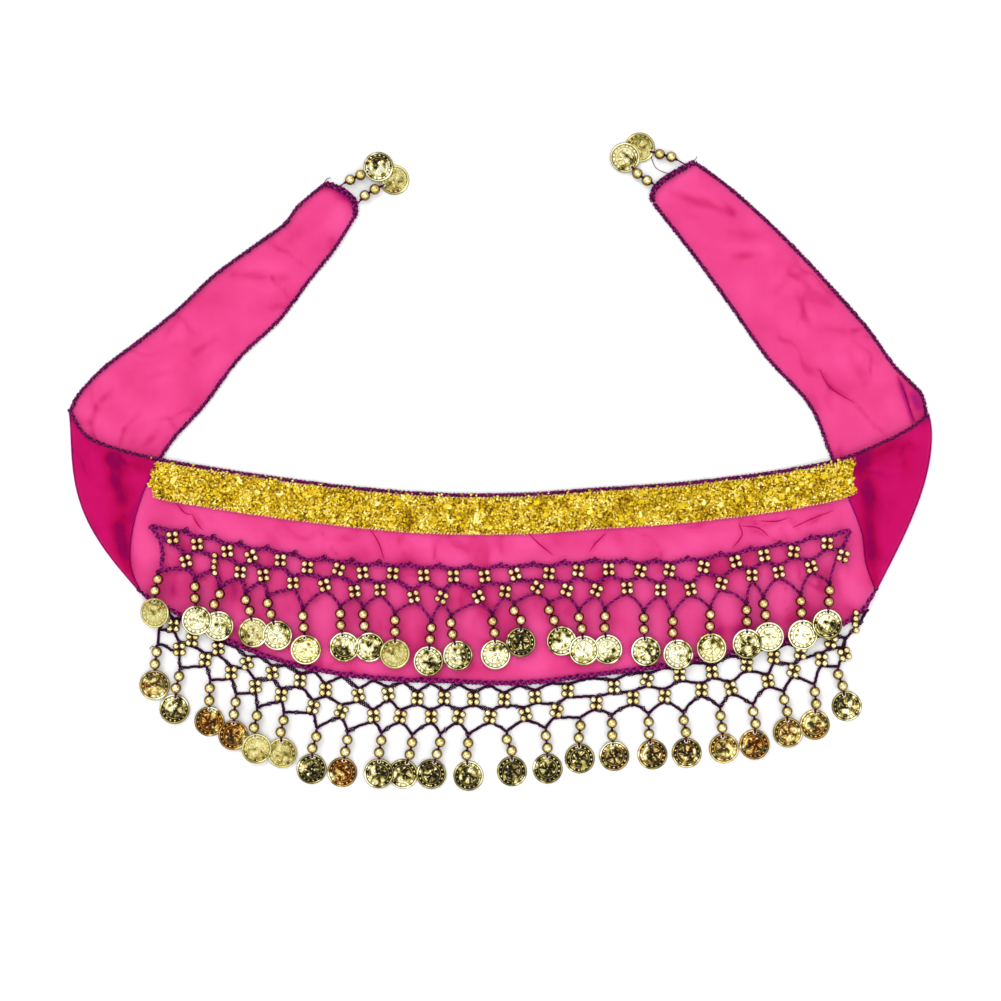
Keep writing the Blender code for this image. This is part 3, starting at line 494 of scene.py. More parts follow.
# Crochet, for a chain of width 1
PLAIT_PITCH = 3.9
PLAIT_SHADES = (0.34, 0.52, 0.86)
PLAIT_HALF_WIDTH = 0.44
PLAIT_HALF_HEIGHT = 0.26
PLAIT_THREAD = 0.36
PLAIT_STEP = 0.78
PLAIT_STRAY = 0.32
LOOPS_OPEN_FROM, LOOPS_OPEN_RATE = 0.16, 6.0
LOOPS_THINNER = 0.3
WANDER_SCALE, STRAY_SCALE = 3.4, 1.9
STITCH_SIDES = 4
WOUND_STEPS = 6               # points in one turn of a wound stitch
WOUND_WANDER_SCALE, WOUND_SWING, WOUND_SWELL, WOUND_FLATNESS = 5.0, 1.6, 0.25, 0.5


def along_noise(travel, scale, place, seed):
    """Smooth noise along a thread, different for each place."""
    return np.array([noise.noise(Vector((s / scale, place, seed))) for s in travel])


def crochet(bag, path, width=1.0, loose=0.0, depth=1.0):
    """A crochet chain: strands that cross over one another, opening into loops where loose."""
    centre, length = resample(path, PLAIT_STEP)
    side, up = frames_along(centre)
    travel = np.linspace(0, length, len(centre))
    wander = along_noise(travel, WANDER_SCALE, path[0][0], 3.1)
    opening = 1 + loose * np.clip(LOOPS_OPEN_RATE * (wander - LOOPS_OPEN_FROM), 0, 1)
    stray = PLAIT_STRAY * width * along_noise(travel, STRAY_SCALE, path[0][1], 7.7)
    centre = centre + side * stray[:, None]
    for strand in range(3):
        phase = math.tau * (travel / PLAIT_PITCH + strand / 3) + 0.8 * wander
        across = PLAIT_HALF_WIDTH * width * opening * np.sin(phase)
        rise = PLAIT_HALF_HEIGHT * width * np.sin(2 * phase)
        line = centre + side * across[:, None] + up * rise[:, None]
        thread = PLAIT_THREAD * width * (1 - LOOPS_THINNER * (opening - 1) / (1 + loose))
        tube(bag, line, thread, STITCH_SIDES, PLAIT_SHADES[strand] * depth)


def whipping(bag, path, radius, pitch, thread, shade=0.5):
    """A stitch that winds round an edge."""
    centre, length = resample(path, pitch / WOUND_STEPS)
    side, up = frames_along(centre)
    travel = np.linspace(0, length, len(centre))
    wander = along_noise(travel, WOUND_WANDER_SCALE, path[0][1], 8.4)
    phase = math.tau * travel / pitch + WOUND_SWING * wander
    reach = radius * (1 + WOUND_SWELL * wander)
    rise = WOUND_FLATNESS * reach * np.sin(phase)
    line = centre + side * (reach * np.cos(phase))[:, None] + up * rise[:, None]
    tube(bag, line, thread, STITCH_SIDES, shade)


LOOP_POINTS, KNOT_POINTS = 12, 8
KNOT_TURNS = 3
KNOT_LEAN = 0.9
KNOT_REACH, KNOT_THREAD = 0.62, 0.42


def small_loop(bag, x, y, z, radius, thread=0.28):
    """A loop of thread that doesn't quite close."""
    turns = np.linspace(-0.3, math.tau * 0.93, LOOP_POINTS)
    wobble = 1 + 0.12 * np.sin(3 * turns + x)
    path = np.stack([x + radius * wobble * np.cos(turns), y + 0.85 * radius * wobble * np.sin(turns),
                     z + 0.25 * np.sin(turns)], axis=1)
    tube(bag, path, thread, STITCH_SIDES)


def spun(points, turn):
    """Points turned about z."""
    result = points.copy()
    result[:, 0] = points[:, 0] * math.cos(turn) - points[:, 1] * math.sin(turn)
    result[:, 1] = points[:, 0] * math.sin(turn) + points[:, 1] * math.cos(turn)
    return result


def knot(bag, x, y, z, radius):
    """Turns of thread wound round one another."""
    turns = np.linspace(0, math.tau * 0.95, KNOT_POINTS)
    across, rise = np.sin(turns) * math.cos(KNOT_LEAN), np.sin(turns) * math.sin(KNOT_LEAN)
    ring = np.stack([np.cos(turns), across, rise], axis=1)
    for k in range(KNOT_TURNS):
        line = spun(ring, k * math.pi / KNOT_TURNS + x)
        tube(bag, np.array((x, y, z)) + line * radius * KNOT_REACH, radius * KNOT_THREAD, STITCH_SIDES)


def turned(centre, axis, profile, sides):
    """Points and faces of a turned ring: profile rows are (distance along the axis, radius)."""
    axis = np.asarray(axis, dtype=float)
    axis /= np.linalg.norm(axis)
    helper = np.array((0, 0, 1.0)) if abs(axis[2]) < 0.9 else np.array((1.0, 0, 0))
    side = np.cross(axis, helper)
    side /= np.linalg.norm(side)
    up = np.cross(side, axis)
    turns = np.arange(sides) * math.tau / sides
    ring = np.cos(turns)[:, None] * side + np.sin(turns)[:, None] * up
    points = [np.asarray(centre) + axis * along + ring * radius for along, radius in profile]
    faces = grid_faces(len(profile), sides, wrap=True, flip=True)
    last = (len(profile) - 1) * sides
    faces += [(j, (j + 1) % sides, last + (j + 1) % sides, last + j) for j in range(sides)]
    return np.concatenate(points), faces


# A bead's last number sets how fast its painted shade grows from the crown towards its sides.
Bead = namedtuple("Bead", "radius hole rings sides tarnish")
DROP_BEAD = Bead(BEAD_RADIUS, 0.75, 11, 18, 2.6)
CLUSTER_BEAD = Bead(SMALL_BEAD_RADIUS, 0.42, 7, 10, 1.5)


def add_bead(bag, bead, centre, axis, tone, warmth):
    """A round bead on its thread, with a painted highlight on its crown and painted shade towards its sides
    and holes.
    """
    start = math.asin(bead.hole / bead.radius)
    profile = [(-bead.radius * math.cos(a), bead.radius * math.sin(a))
               for a in np.linspace(start, math.pi - start, bead.rings)]
    points, faces = turned(centre, axis, profile, bead.sides)
    reach = max(radius for _, radius in profile)
    facing = np.clip((points[:, 2] - centre[2]) / reach, 0, 1)
    bag.add(points, faces, tone * facing ** bead.tarnish, warmth)


# Materials

def new_material(name):
    made = bpy.data.materials.new(name)
    made.use_nodes = True
    nodes = made.node_tree.nodes
    nodes.clear()
    return made, nodes, made.node_tree.links


def node(nodes, kind, **settings):
    made = nodes.new(kind)
    for key, value in settings.items():
        if key.startswith("in_"):
            made.inputs[key[3:].replace("_", " ")].default_value = value
        else:
            setattr(made, key, value)
    return made


def finish_material(nodes, links, shader_output):
    output = node(nodes, "ShaderNodeOutputMaterial")
    links.new(shader_output, output.inputs["Surface"])


def object_texture(nodes, links, kind, **settings):
    """A texture laid out in the piece's own coordinates."""
    texture = node(nodes, kind, **settings)
    links.new(node(nodes, "ShaderNodeTexCoord").outputs["Object"], texture.inputs["Vector"])
    return texture


def point_value(nodes, name):
    """The value that each point of the mesh carries under a name."""
    return node(nodes, "ShaderNodeAttribute", attribute_name=name).outputs["Fac"]


def shade_with_grain(nodes, links, grain, share):
    """The piece's own shade, mixed with a share of a fine grain."""
    blend = node(nodes, "ShaderNodeMix", data_type="FLOAT")
    blend.inputs["Factor"].default_value = share
    links.new(point_value(nodes, "shade"), blend.inputs[2])
    links.new(grain.outputs["Fac"], blend.inputs[3])
    return blend.outputs[0]


def ramp(nodes, stops):
    made = nodes.new("ShaderNodeValToRGB")
    elements = made.color_ramp.elements
    elements[0].position, elements[0].color = stops[0][0], (*stops[0][1], 1)
    elements[1].position, elements[1].color = stops[-1][0], (*stops[-1][1], 1)
    for position, colour in stops[1:-1]:
        elements.new(position).color = (*colour, 1)
    return made


# Colours from thin to dense cloth, and from dark to bright elsewhere; on beads, coins and sequins dark to
# bright also runs from painted shade to painted highlights
TINT_STOPS = [(0.40, (0.976, 0.582, 0.732)), (0.70, (0.949, 0.512, 0.684)),
              (0.86, (0.905, 0.432, 0.622)), (1.0, (0.815, 0.320, 0.650))]
CLOTH_STOPS = [(0.45, (0.66, 0.006, 0.52)), (0.84, (0.50, 0.0, 0.30)), (1.0, (0.21, 0.0, 0.30))]
THREAD_STOPS = [(0.22, (0.006, 0.0, 0.008)), (0.45, (0.045, 0.0, 0.040)), (0.60, (0.17, 0.002, 0.090)),
                (0.75, (0.44, 0.012, 0.22))]
CLOUD_SHARE = 0.42
WEAVE_SCALE = 520.0
OPEN_COVER, THREAD_COVER = 0.07, 0.17


def chiffon_look():
    """Sheer woven cloth: light passes through it twice off the white surface below."""
    made, nodes, links = new_material("sash_cloth")
    cloud = object_texture(nodes, links, "ShaderNodeTexNoise", in_Scale=42.0, in_Detail=4.0,
                           in_Roughness=0.6)
    dense = node(nodes, "ShaderNodeMath", operation="MULTIPLY_ADD")
    dense.inputs[1].default_value = CLOUD_SHARE
    links.new(cloud.outputs["Fac"], dense.inputs[0])
    links.new(point_value(nodes, "shade"), dense.inputs[2])
    tint = ramp(nodes, TINT_STOPS)
    links.new(dense.outputs["Value"], tint.inputs["Fac"])
    see_through = node(nodes, "ShaderNodeBsdfTransparent")
    links.new(tint.outputs["Color"], see_through.inputs["Color"])
    weave = node(nodes, "ShaderNodeMath", operation="MULTIPLY")
    for socket, direction in enumerate("XY"):
        wave = object_texture(nodes, links, "ShaderNodeTexWave", wave_type="BANDS",
                              bands_direction=direction, in_Scale=WEAVE_SCALE)
        links.new(wave.outputs["Fac"], weave.inputs[socket])
    bump = node(nodes, "ShaderNodeBump", in_Strength=0.25, in_Distance=0.00008)
    links.new(weave.outputs["Value"], bump.inputs["Height"])
    threads = node(nodes, "ShaderNodeBsdfPrincipled", in_Roughness=0.62, in_Sheen_Weight=0.12,
                   in_Sheen_Roughness=0.4, in_Sheen_Tint=(1.0, 0.35, 0.85, 1),
                   in_Specular_IOR_Level=0.12)
    colour = ramp(nodes, CLOTH_STOPS)
    links.new(dense.outputs["Value"], colour.inputs["Fac"])
    links.new(colour.outputs["Color"], threads.inputs["Base Color"])
    links.new(bump.outputs["Normal"], threads.inputs["Normal"])
    cover = node(nodes, "ShaderNodeMapRange", in_To_Min=OPEN_COVER, in_To_Max=THREAD_COVER)
    links.new(weave.outputs["Value"], cover.inputs["Value"])
    mix = node(nodes, "ShaderNodeMixShader")
    links.new(cover.outputs["Result"], mix.inputs["Fac"])
    links.new(see_through.outputs["BSDF"], mix.inputs[1])
    links.new(threads.outputs["BSDF"], mix.inputs[2])
    finish_material(nodes, links, mix.outputs["Shader"])
    return made


def thread_look():
    """Twisted purple yarn, from near black to magenta with each strand's own shade."""
    made, nodes, links = new_material("crochet_thread")
    fibre = object_texture(nodes, links, "ShaderNodeTexNoise", in_Scale=420.0, in_Detail=2.0)
    colour = ramp(nodes, THREAD_STOPS)
    links.new(shade_with_grain(nodes, links, fibre, 0.45), colour.inputs["Fac"])
    strands = object_texture(nodes, links, "ShaderNodeTexWave", bands_direction="DIAGONAL",
                             in_Scale=300.0, in_Distortion=1.5)
    bump = node(nodes, "ShaderNodeBump", in_Strength=0.6, in_Distance=0.00012)
    links.new(strands.outputs["Fac"], bump.inputs["Height"])
    shader = node(nodes, "ShaderNodeBsdfPrincipled", in_Roughness=0.6, in_Sheen_Weight=0.03,
                  in_Sheen_Tint=(0.8, 0.1, 0.5, 1), in_Specular_IOR_Level=0.12)
    links.new(colour.outputs["Color"], shader.inputs["Base Color"])
    links.new(bump.outputs["Normal"], shader.inputs["Normal"])
    finish_material(nodes, links, shader.outputs["BSDF"])
    return made


def gold_look(name, stops, roughness, bump_scale, bump_strength, metallic=1.0, grain_share=0.28,
              warm_stops=None):
    """A bright metal whose colour follows the piece's own shade values, which hold painted light and shade,
    and a fine grain.
    """
    made, nodes, links = new_material(name)
    grain = object_texture(nodes, links, "ShaderNodeTexNoise", in_Scale=bump_scale, in_Detail=3.0)
    shade = shade_with_grain(nodes, links, grain, grain_share)
    colour = ramp(nodes, stops)
    links.new(shade, colour.inputs["Fac"])
    colour_out = colour.outputs["Color"]
    # On coins the warmth value is rust; on beads it is a painted reflection of the pink cloth.
    if warm_stops:
        warm = ramp(nodes, warm_stops)
        links.new(shade, warm.inputs["Fac"])
        both = node(nodes, "ShaderNodeMix", data_type="RGBA")
        links.new(point_value(nodes, "warmth"), both.inputs["Factor"])
        links.new(colour_out, both.inputs[6])
        links.new(warm.outputs["Color"], both.inputs[7])
        colour_out = both.outputs[2]
    bump = node(nodes, "ShaderNodeBump", in_Strength=bump_strength, in_Distance=0.0001)
    links.new(grain.outputs["Fac"], bump.inputs["Height"])
    shader = node(nodes, "ShaderNodeBsdfPrincipled", in_Metallic=metallic, in_Roughness=roughness)
    links.new(colour_out, shader.inputs["Base Color"])
    links.new(bump.outputs["Normal"], shader.inputs["Normal"])
    finish_material(nodes, links, shader.outputs["BSDF"])
    return made


BEAD_STOPS = [(0.15, (0.105, 0.055, 0.012)), (0.34, (0.24, 0.16, 0.030)), (0.58, (0.64, 0.52, 0.16)),
              (0.84, (1.0, 0.95, 0.72))]
# Bead colours with a painted reflection of the pink cloth.
BEAD_REFLECTION_STOPS = [(0.15, (0.085, 0.022, 0.008)), (0.34, (0.25, 0.11, 0.035)), (0.58, (0.56, 0.34, 0.13)),
                   (0.87, (1.0, 0.87, 0.62))]
COIN_STOPS = [(0.08, (0.006, 0.006, 0.005)), (0.28, (0.055, 0.045, 0.024)), (0.48, (0.38, 0.32, 0.075)),
              (0.66, (0.79, 0.75, 0.36)), (0.80, (0.98, 0.98, 0.88)), (0.90, (1.0, 1.0, 0.96))]
RUST_STOPS = [(0.08, (0.012, 0.004, 0.002)), (0.30, (0.13, 0.030, 0.008)), (0.50, (0.38, 0.19, 0.025)),
              (0.70, (0.80, 0.60, 0.16)), (0.88, (1.0, 0.97, 0.75))]
SEQUIN_STOPS = [(0.14, (0.13, 0.05, 0.001)), (0.36, (0.44, 0.26, 0.002)), (0.60, (0.78, 0.54, 0.010)),
                (0.84, (1.0, 0.90, 0.32))]


def floor_look():
    """Matt white, as round the scarf in the photo."""
    made, nodes, links = new_material("stage_white")
    shader = node(nodes, "ShaderNodeBsdfPrincipled", in_Roughness=0.9,
                  in_Base_Color=(0.93, 0.93, 0.93, 1), in_Specular_IOR_Level=0.1)
    finish_material(nodes, links, shader.outputs["BSDF"])
    return made


# The sash

ACROSS = 64
SHARES = [j / ACROSS for j in range(ACROSS + 1)]
TIE_STEPS = 155
TIE_END_CROWDING = 1.1
PANEL_STEPS = 270
FOLD_TURNS = 8
FOLD_BULGE = 1.5
FLAP_REACH = 0.004
FLAP_EASE = 0.03
TRIM_TOP, TRIM_LOW = -34.0, -75.0
FLAT_UNDER_TRIM = 0.55
FLAT_AT_HEM = 0.25
PLAIN_SHADE = 0.40
PANEL_LIGHTER = 0.06
FINE_SHADE_TOP = 0.16
PINCH_SHADE = 0.72
FOLD_SHADE = 0.45


def panel_height(plan):
    share = lift_share(plan)
    near_hem = smoothstep(0.0, 4.0, plan.y - hem_y(plan.x, 1.0))
    flat = FLAT_UNDER_TRIM if TRIM_LOW < plan.y < TRIM_TOP else 1.0
    creases = crease_height(PANEL_CREASES, plan) * flat + crease_height(FLAP_CREASES, plan)
    swell = 0.20 * ripple(plan, 26.0, 1.7) + 0.10 * ripple(plan, 8.0, 5.2) + 0.22 * wrinkles(plan, 15.0, 6.4)
    freedom = FLAT_AT_HEM + (1 - FLAT_AT_HEM) * near_hem
    level = PANEL_Z + share * (TOP_LAYER_Z - PANEL_Z) + (creases + swell) * freedom
    return max(level, LOWEST_CLOTH)


# The panel's shade: its density, with painted shade along creases and wrinkles, and darker mottle towards
# and under the trims.
def panel_shade(plan):
    creases = 0.8 * crease_shade(PANEL_CREASES, plan) + crease_shade(FLAP_CREASES, plan)
    under_trims = smoothstep(-TRIM_TOP, 52.0, -plan.y)
    clouds, lines = ripple(plan, 16.0, 3.3), wrinkles(plan, 15.0, 6.4)
    fine = (0.18 + 0.24 * under_trims) * clouds + (0.26 + 0.24 * under_trims) * lines
    return PLAIN_SHADE - PANEL_LIGHTER + 0.26 * creases + min(fine, FINE_SHADE_TOP * (1 + 0.7 * under_trims))


def tie_height(plan):
    free = smoothstep(4.0, 16.0, outline_distance(plan, PANEL_OUTLINE))
    creases = crease_height(TIE_CREASES, plan)
    swell = 0.35 * ripple(plan, 24.0, 7.3) + 0.14 * ripple(plan, 8.0, 2.6) + 0.30 * wrinkles(plan, 17.0, 1.7)
    return max(LAYER_Z + free * (0.25 + creases + swell), LOWEST_CLOTH)


# The tie's shade: denser under the panel and the hems, with painted shade along its creases and wrinkles.
def tie_shade(plan):
    covered = 1 - smoothstep(0.0, 2.0, outline_distance(plan, PANEL_OUTLINE))
    creases = crease_shade(TIE_CREASES, plan) * (1 - 0.6 * covered) + crease_shade(HEM_PATCHES, plan)
    fine = 0.16 * ripple(plan, 16.0, 6.1) + 0.30 * wrinkles(plan, 17.0, 1.7)
    return PLAIN_SHADE + 0.05 * covered + 0.17 * creases + min(fine, FINE_SHADE_TOP)


def tie_rows(sections, side):
    """A tie's rows from its end to its fold, and then the turn round the fold."""
    rows = []
    for i in range(TIE_STEPS, 0, -1):
        plans = [cloth_point(sections, (i / TIE_STEPS) ** TIE_END_CROWDING, share) for share in SHARES]
        rows.append([(plan.x, plan.y, tie_height(plan), tie_shade(plan)) for plan in plans])
    fold = [cloth_point(sections, 0.0, share) for share in SHARES]
    shades = [tie_shade(plan) for plan in fold]
    for step in range(FOLD_TURNS + 1):
        turn = math.pi * step / FOLD_TURNS
        out = side * FOLD_RADIUS * FOLD_BULGE * math.sin(turn)
        rise = FOLD_RADIUS * (1 - math.cos(turn))
        edge = FOLD_SHADE * math.sin(turn)
        rows.append([(plan.x + out, plan.y, LAYER_Z + rise, shade + edge)
                     for plan, shade in zip(fold, shades)])
    return rows


def panel_rows():
    rows = []
    for i in range(PANEL_STEPS + 1):
        along = FLAP_REACH + (1 - 2 * FLAP_REACH) * i / PANEL_STEPS
        plans = [cloth_point(PANEL, along, share) for share in SHARES]
        ease = smoothstep(0, FLAP_EASE, min(i, PANEL_STEPS - i) / PANEL_STEPS)
        rows.append([(plan.x, plan.y, TOP_LAYER_Z + ease * (panel_height(plan) - TOP_LAYER_Z),
                      panel_shade(plan)) for plan in plans])
    return rows


def sash_rows():
    """Rows of points across the sash, from the left tie's end to the right tie's end.

    Each point has its x, y and z and the shade of the cloth there.
    """
    return np.array(tie_rows(LEFT_TIE, -1) + panel_rows() + tie_rows(RIGHT_TIE, 1)[::-1])


def shell_faces(count, columns):
    """Faces of a closed thin shell whose second side's points follow the first side's."""
    size = count * columns
    faces = grid_faces(count, columns)
    faces += [tuple(index + size for index in face[::-1]) for face in faces]
    rim = [i * columns for i in range(count)] + [(count - 1) * columns + j for j in range(1, columns)]
    rim += [i * columns + columns - 1 for i in range(count - 2, -1, -1)] + list(range(columns - 2, 0, -1))
    faces += [(a, b, b + size, a + size) for a, b in zip(rim, rim[1:] + rim[:1])]
    return faces


def make_sash(look):
    table = sash_rows()
    rows, shades = table[:, :, :3], np.clip(table[:, :, 3], 0, 1).ravel()
    count, columns = rows.shape[:2]
    along = np.gradient(rows, axis=0)
    across = np.gradient(rows, axis=1)
    normal = np.cross(across, along)
    cells = np.linalg.norm(normal, axis=2)
    normal /= cells[:, :, None] + 1e-12
    half = normal * SASH_THICK / 2
    bag = Bag()
    bag.add(np.concatenate([(rows + half).reshape(-1, 3), (rows - half).reshape(-1, 3)]),
            shell_faces(count, columns), np.concatenate([shades, shades]))
    return bag.build("sash", look), rows, float(cells[:-1, :-1].sum())


def taper(count, power):
    """Radii that draw in towards both ends of a line."""
    return np.sin(np.linspace(TAPER_START, math.pi - TAPER_START, count)) ** power


def make_pinches(rows, look):
    """The sharp creases and the two folds' pressed edges, which taper away at both ends."""
    bag = Bag()
    for row in (TIE_STEPS + FOLD_TURNS // 2, len(rows) - 1 - TIE_STEPS - FOLD_TURNS // 2):
        tube(bag, rows[row], FOLD_EDGE_RADIUS * taper(len(rows[row]), power=0.3), shade=1.0)
    for pinch in PINCHES:
        plans = [Vector(pinch[0:2]), Vector(pinch[2:4]), Vector(pinch[4:6])]
        on_panel = outline_distance(plans[1], PANEL_OUTLINE) == 0.0
        height = panel_height if on_panel else tie_height
        line, _ = resample([(plan.x, plan.y, height(plan) + PINCH_LIFT) for plan in plans], THREAD_STEP)
        tube(bag, line, PINCH_RADIUS * taper(len(line), power=0.6), shade=PINCH_SHADE)
    return bag.build("pinches", look)


HEM_WIDTH = 1.25
HEM_LOOSE = 0.9
HEM_STITCH_RADIUS, HEM_STITCH_PITCH, HEM_STITCH_THREAD = 1.15, 2.3, 0.22
HEM_HIDDEN_SHARE = 0.30
HEM_HIDDEN_DEPTH = 1.8
END_HEM_WIDER = 1.6
HEM_LIFT = 0.62
SEWN_PLACE = (0, 0.5, 1.1)    # the trim's first chain, sewn over the panel's bottom hem
SEWN_WIDTH = 1.75

# Ends of the hem's thread left hanging
STRAY_ENDS = [
    [(-99.0, 150.6), (-96.2, 153.4), (-94.6, 155.6), (-92.4, 156.2)],
    [(104.6, 163.6), (106.6, 165.2), (108.0, 166.4), (108.8, 168.0)],
    [(83.6, 168.4), (84.4, 165.4), (86.0, 162.0), (88.8, 160.0), (92.2, 158.8), (94.6, 158.2)],
    [(186.4, -104.6), (187.4, -106.6), (190.4, -107.2), (193.2, -106.4)],
    [(-187.4, -99.8), (-189.2, -101.6), (-190.8, -101.2), (-192.0, -102.8)],
]
STRAY_RADIUS, STRAY_Z, STRAY_STEP = 0.2, 0.8, 0.7
HEM_EVERY, END_HEM_EVERY = 3, 4


def make_hems(rows, look):
    """The crocheted edge all round the sash: a chain with a stitch wound over it."""
    bag = Bag()
    places = np.arange(0, len(rows), HEM_EVERY)
    on_tie = np.minimum(places, len(rows) - 1 - places) < TIE_STEPS
    at_end = np.zeros(rows.shape[1], dtype=bool)
    edges = [(rows[places, column], on_tie, 1.0) for column in (0, -1)]
    edges += [(rows[row][::END_HEM_EVERY], at_end, END_HEM_WIDER) for row in (0, -1)]
    for path, tied, wide in edges:
        for stretch, share in hem_stretches(path, tied):
            depth = 1.0 if share == 1.0 else HEM_HIDDEN_DEPTH
            stretch = [(x, y, z + HEM_LIFT * share * wide) for x, y, z in stretch]
            crochet(bag, stretch, HEM_WIDTH * share * wide, HEM_LOOSE, depth)
            whipping(bag, stretch, HEM_STITCH_RADIUS * share * wide, HEM_STITCH_PITCH,
                     HEM_STITCH_THREAD, shade=0.15 * depth)
    sewn = rows[TIE_STEPS + 2 * FOLD_TURNS:-TIE_STEPS - 2 * FOLD_TURNS, -1][::HEM_EVERY]
    crochet(bag, sewn + np.array(SEWN_PLACE), SEWN_WIDTH, HEM_LOOSE, depth=1.2)
    for end in STRAY_ENDS:
        line, _ = resample([(x, y, STRAY_Z) for x, y in end], STRAY_STEP)
        tube(bag, line, STRAY_RADIUS, sides=5, shade=0.3)
    return bag.build("hems", look)


def hem_stretches(path, tied):
    """Splits a tie's hem where it slips under the panel, and is pressed thin there."""
    under = [on_tie and outline_distance(Vector(point[:2]), PANEL_OUTLINE) == 0.0
             for point, on_tie in zip(path, tied)]
    stretches = []
    start = 0
    for i in range(1, len(path) + 1):
        if i == len(path) or under[i] != under[start]:
            stretch = path[max(start - 1, 0):i].tolist()
            if len(stretch) > 2:
                stretches.append((stretch, HEM_HIDDEN_SHARE if under[start] else 1.0))
            start = i
    return stretches


# The sequin band

SEQUINS = 15500
SEQUIN_RADIUS = (0.42, 0.93)
SEQUIN_SIDES = 4
ROUND_SEQUINS = 70
ROUND_SEQUIN_RADIUS = (1.1, 1.6)
ROUND_SEQUIN_SIDES = 10
EDGE_SEQUINS = 110            # strays that stick out over the top hem
EDGE_SEQUINS_AT = -0.06       # in band widths below the top edge
BAND_END_CLEARANCE = 3.0
HEAP_LIFT, HEAP_HEIGHT = 0.7, 0.7
SEQUIN_OVAL = (1.15, 0.85)
SEQUIN_TILT, ROUND_SEQUIN_TILT = 0.30, 0.12
ROUND_SEQUIN_LIFT = 1.45
ROUND_SEQUIN_SHADES = (0.50, 0.82)
SEQUIN_SAG = 0.12             # how far a sequin's middle stands out from its rim
BACKING_ROWS = 120
BACKING_COLUMNS = 10
BACKING_INSET, BACKING_LIFT, BACKING_HALF_THICK, BACKING_RIPPLE = 0.6, 0.3, 0.22, 0.15
EDGE_STITCH_INSET, EDGE_STITCH_LIFT = 1.0, 0.5


def band_point(x, share):
    """A point of the band, share 0 at its top edge and 1 at its bottom edge."""
    return Vector((x, hem_y(x, 0.0) - BAND_INSET - BAND_WIDTH * share))


def band_height(plan):
    return TRIM_LIFT * lift_share(plan, NET_MARGIN) + BAND_ON_CLOTH


def band_ends(share):
    """The ragged ends of the band."""
    left = BAND_LEFT_X + 1.6 * math.sin(7 * share + 0.6) + 0.8 * math.sin(17 * share)
    right = BAND_RIGHT_X + 0.9 * math.sin(6 * share + 2.0) + 0.5 * math.sin(15 * share)
    return left, right


def along_band(share, inset):
    """Evenly spaced points from end to end of the band."""
    left, right = band_ends(share)
    width = right - left - 2 * inset
    return [band_point(left + inset + width * i / BACKING_ROWS, share) for i in range(BACKING_ROWS + 1)]


def make_band_backing(look):
    """The band's base, with a stitch wound over its two long edges."""
    lines = [along_band(j / BACKING_COLUMNS, BACKING_INSET) for j in range(BACKING_COLUMNS + 1)]
    points = []
    for side in (1, -1):
        for plan in (plan for row in zip(*lines) for plan in row):
            rise = BACKING_HALF_THICK * side + BACKING_RIPPLE * ripple(plan, 6.0, 4.4)
            points.append((plan.x, plan.y, band_height(plan) + BACKING_LIFT + rise))
    bag = Bag()
    faces = [face[::-1] for face in shell_faces(BACKING_ROWS + 1, BACKING_COLUMNS + 1)]
    bag.add(points, faces, 0.0)
    for share in (0.0, 1.0):
        plans = along_band(share, EDGE_STITCH_INSET)
        edge = [(plan.x, plan.y, band_height(plan) + EDGE_STITCH_LIFT) for plan in plans]
        whipping(bag, edge, radius=0.75, pitch=1.9, thread=0.27, shade=1.0)
    return bag.build("band_backing", look)


def add_sequin(bag, centre, radius, sides, tilt, shade):
    """A thin faceted sequin, turned and tilted as it fell."""
    facing, spin = RANDOM.uniform(0, math.tau), RANDOM.uniform(0, math.tau)
    normal = np.array((math.sin(tilt) * math.cos(facing), math.sin(tilt) * math.sin(facing), math.cos(tilt)))
    side = np.cross(normal, (math.cos(spin), math.sin(spin), 0.0))
    side /= np.linalg.norm(side)
    up = np.cross(side, normal)
    turns = np.arange(sides) * math.tau / sides
    long, short = SEQUIN_OVAL
    ring = centre + radius * (long * np.cos(turns)[:, None] * side + short * np.sin(turns)[:, None] * up)
    faces = []
    for j in range(sides):
        k = (j + 1) % sides
        faces += [(k, j, sides), (j, k, sides + 1)]
    middles = [centre + normal * SEQUIN_SAG, centre - normal * SEQUIN_SAG]
    bag.add(np.concatenate([ring, middles]), faces, shade)


def flake_shade(plan):
    """Darker and lighter patches, with painted glints where the glitter would catch the light."""
    patch = 0.5 + 0.8 * ripple(plan, 9.0, 9.0)
    painted_glint = 0.6 * smoothstep(0.42, 0.56, ripple(plan, 5.0, 12.0))
    return min(max(0.4 * patch + RANDOM.uniform(-0.1, 0.62) + painted_glint, 0), 1)


def make_sequins(look):
    """Glitter flakes heaped over the band, with larger round sequins among them."""
    bag = Bag()
    for index in range(SEQUINS + EDGE_SEQUINS):
        share = RANDOM.uniform(0.0, 1.0) if index < SEQUINS else RANDOM.normal(EDGE_SEQUINS_AT, 0.015)
        left, right = band_ends(share)
        plan = band_point(RANDOM.uniform(left - 0.6, right + 0.6), share)
        height = band_height(plan) + HEAP_LIFT + RANDOM.uniform(0, HEAP_HEIGHT)
        shade = flake_shade(plan)
        add_sequin(bag, (plan.x, plan.y + RANDOM.normal(0, 0.4), height), RANDOM.uniform(*SEQUIN_RADIUS),
                   SEQUIN_SIDES, abs(RANDOM.normal(0, SEQUIN_TILT)), shade)
    for _ in range(ROUND_SEQUINS):
        x = RANDOM.uniform(BAND_LEFT_X + BAND_END_CLEARANCE, BAND_RIGHT_X - BAND_END_CLEARANCE)
        plan = band_point(x, RANDOM.uniform(0.08, 0.92))
        place = (plan.x, plan.y, band_height(plan) + ROUND_SEQUIN_LIFT)
        add_sequin(bag, place, RANDOM.uniform(*ROUND_SEQUIN_RADIUS), ROUND_SEQUIN_SIDES,
                   abs(RANDOM.normal(0, ROUND_SEQUIN_TILT)), RANDOM.uniform(*ROUND_SEQUIN_SHADES))
    return bag.build("sequins", look, smooth=False)


# The trims

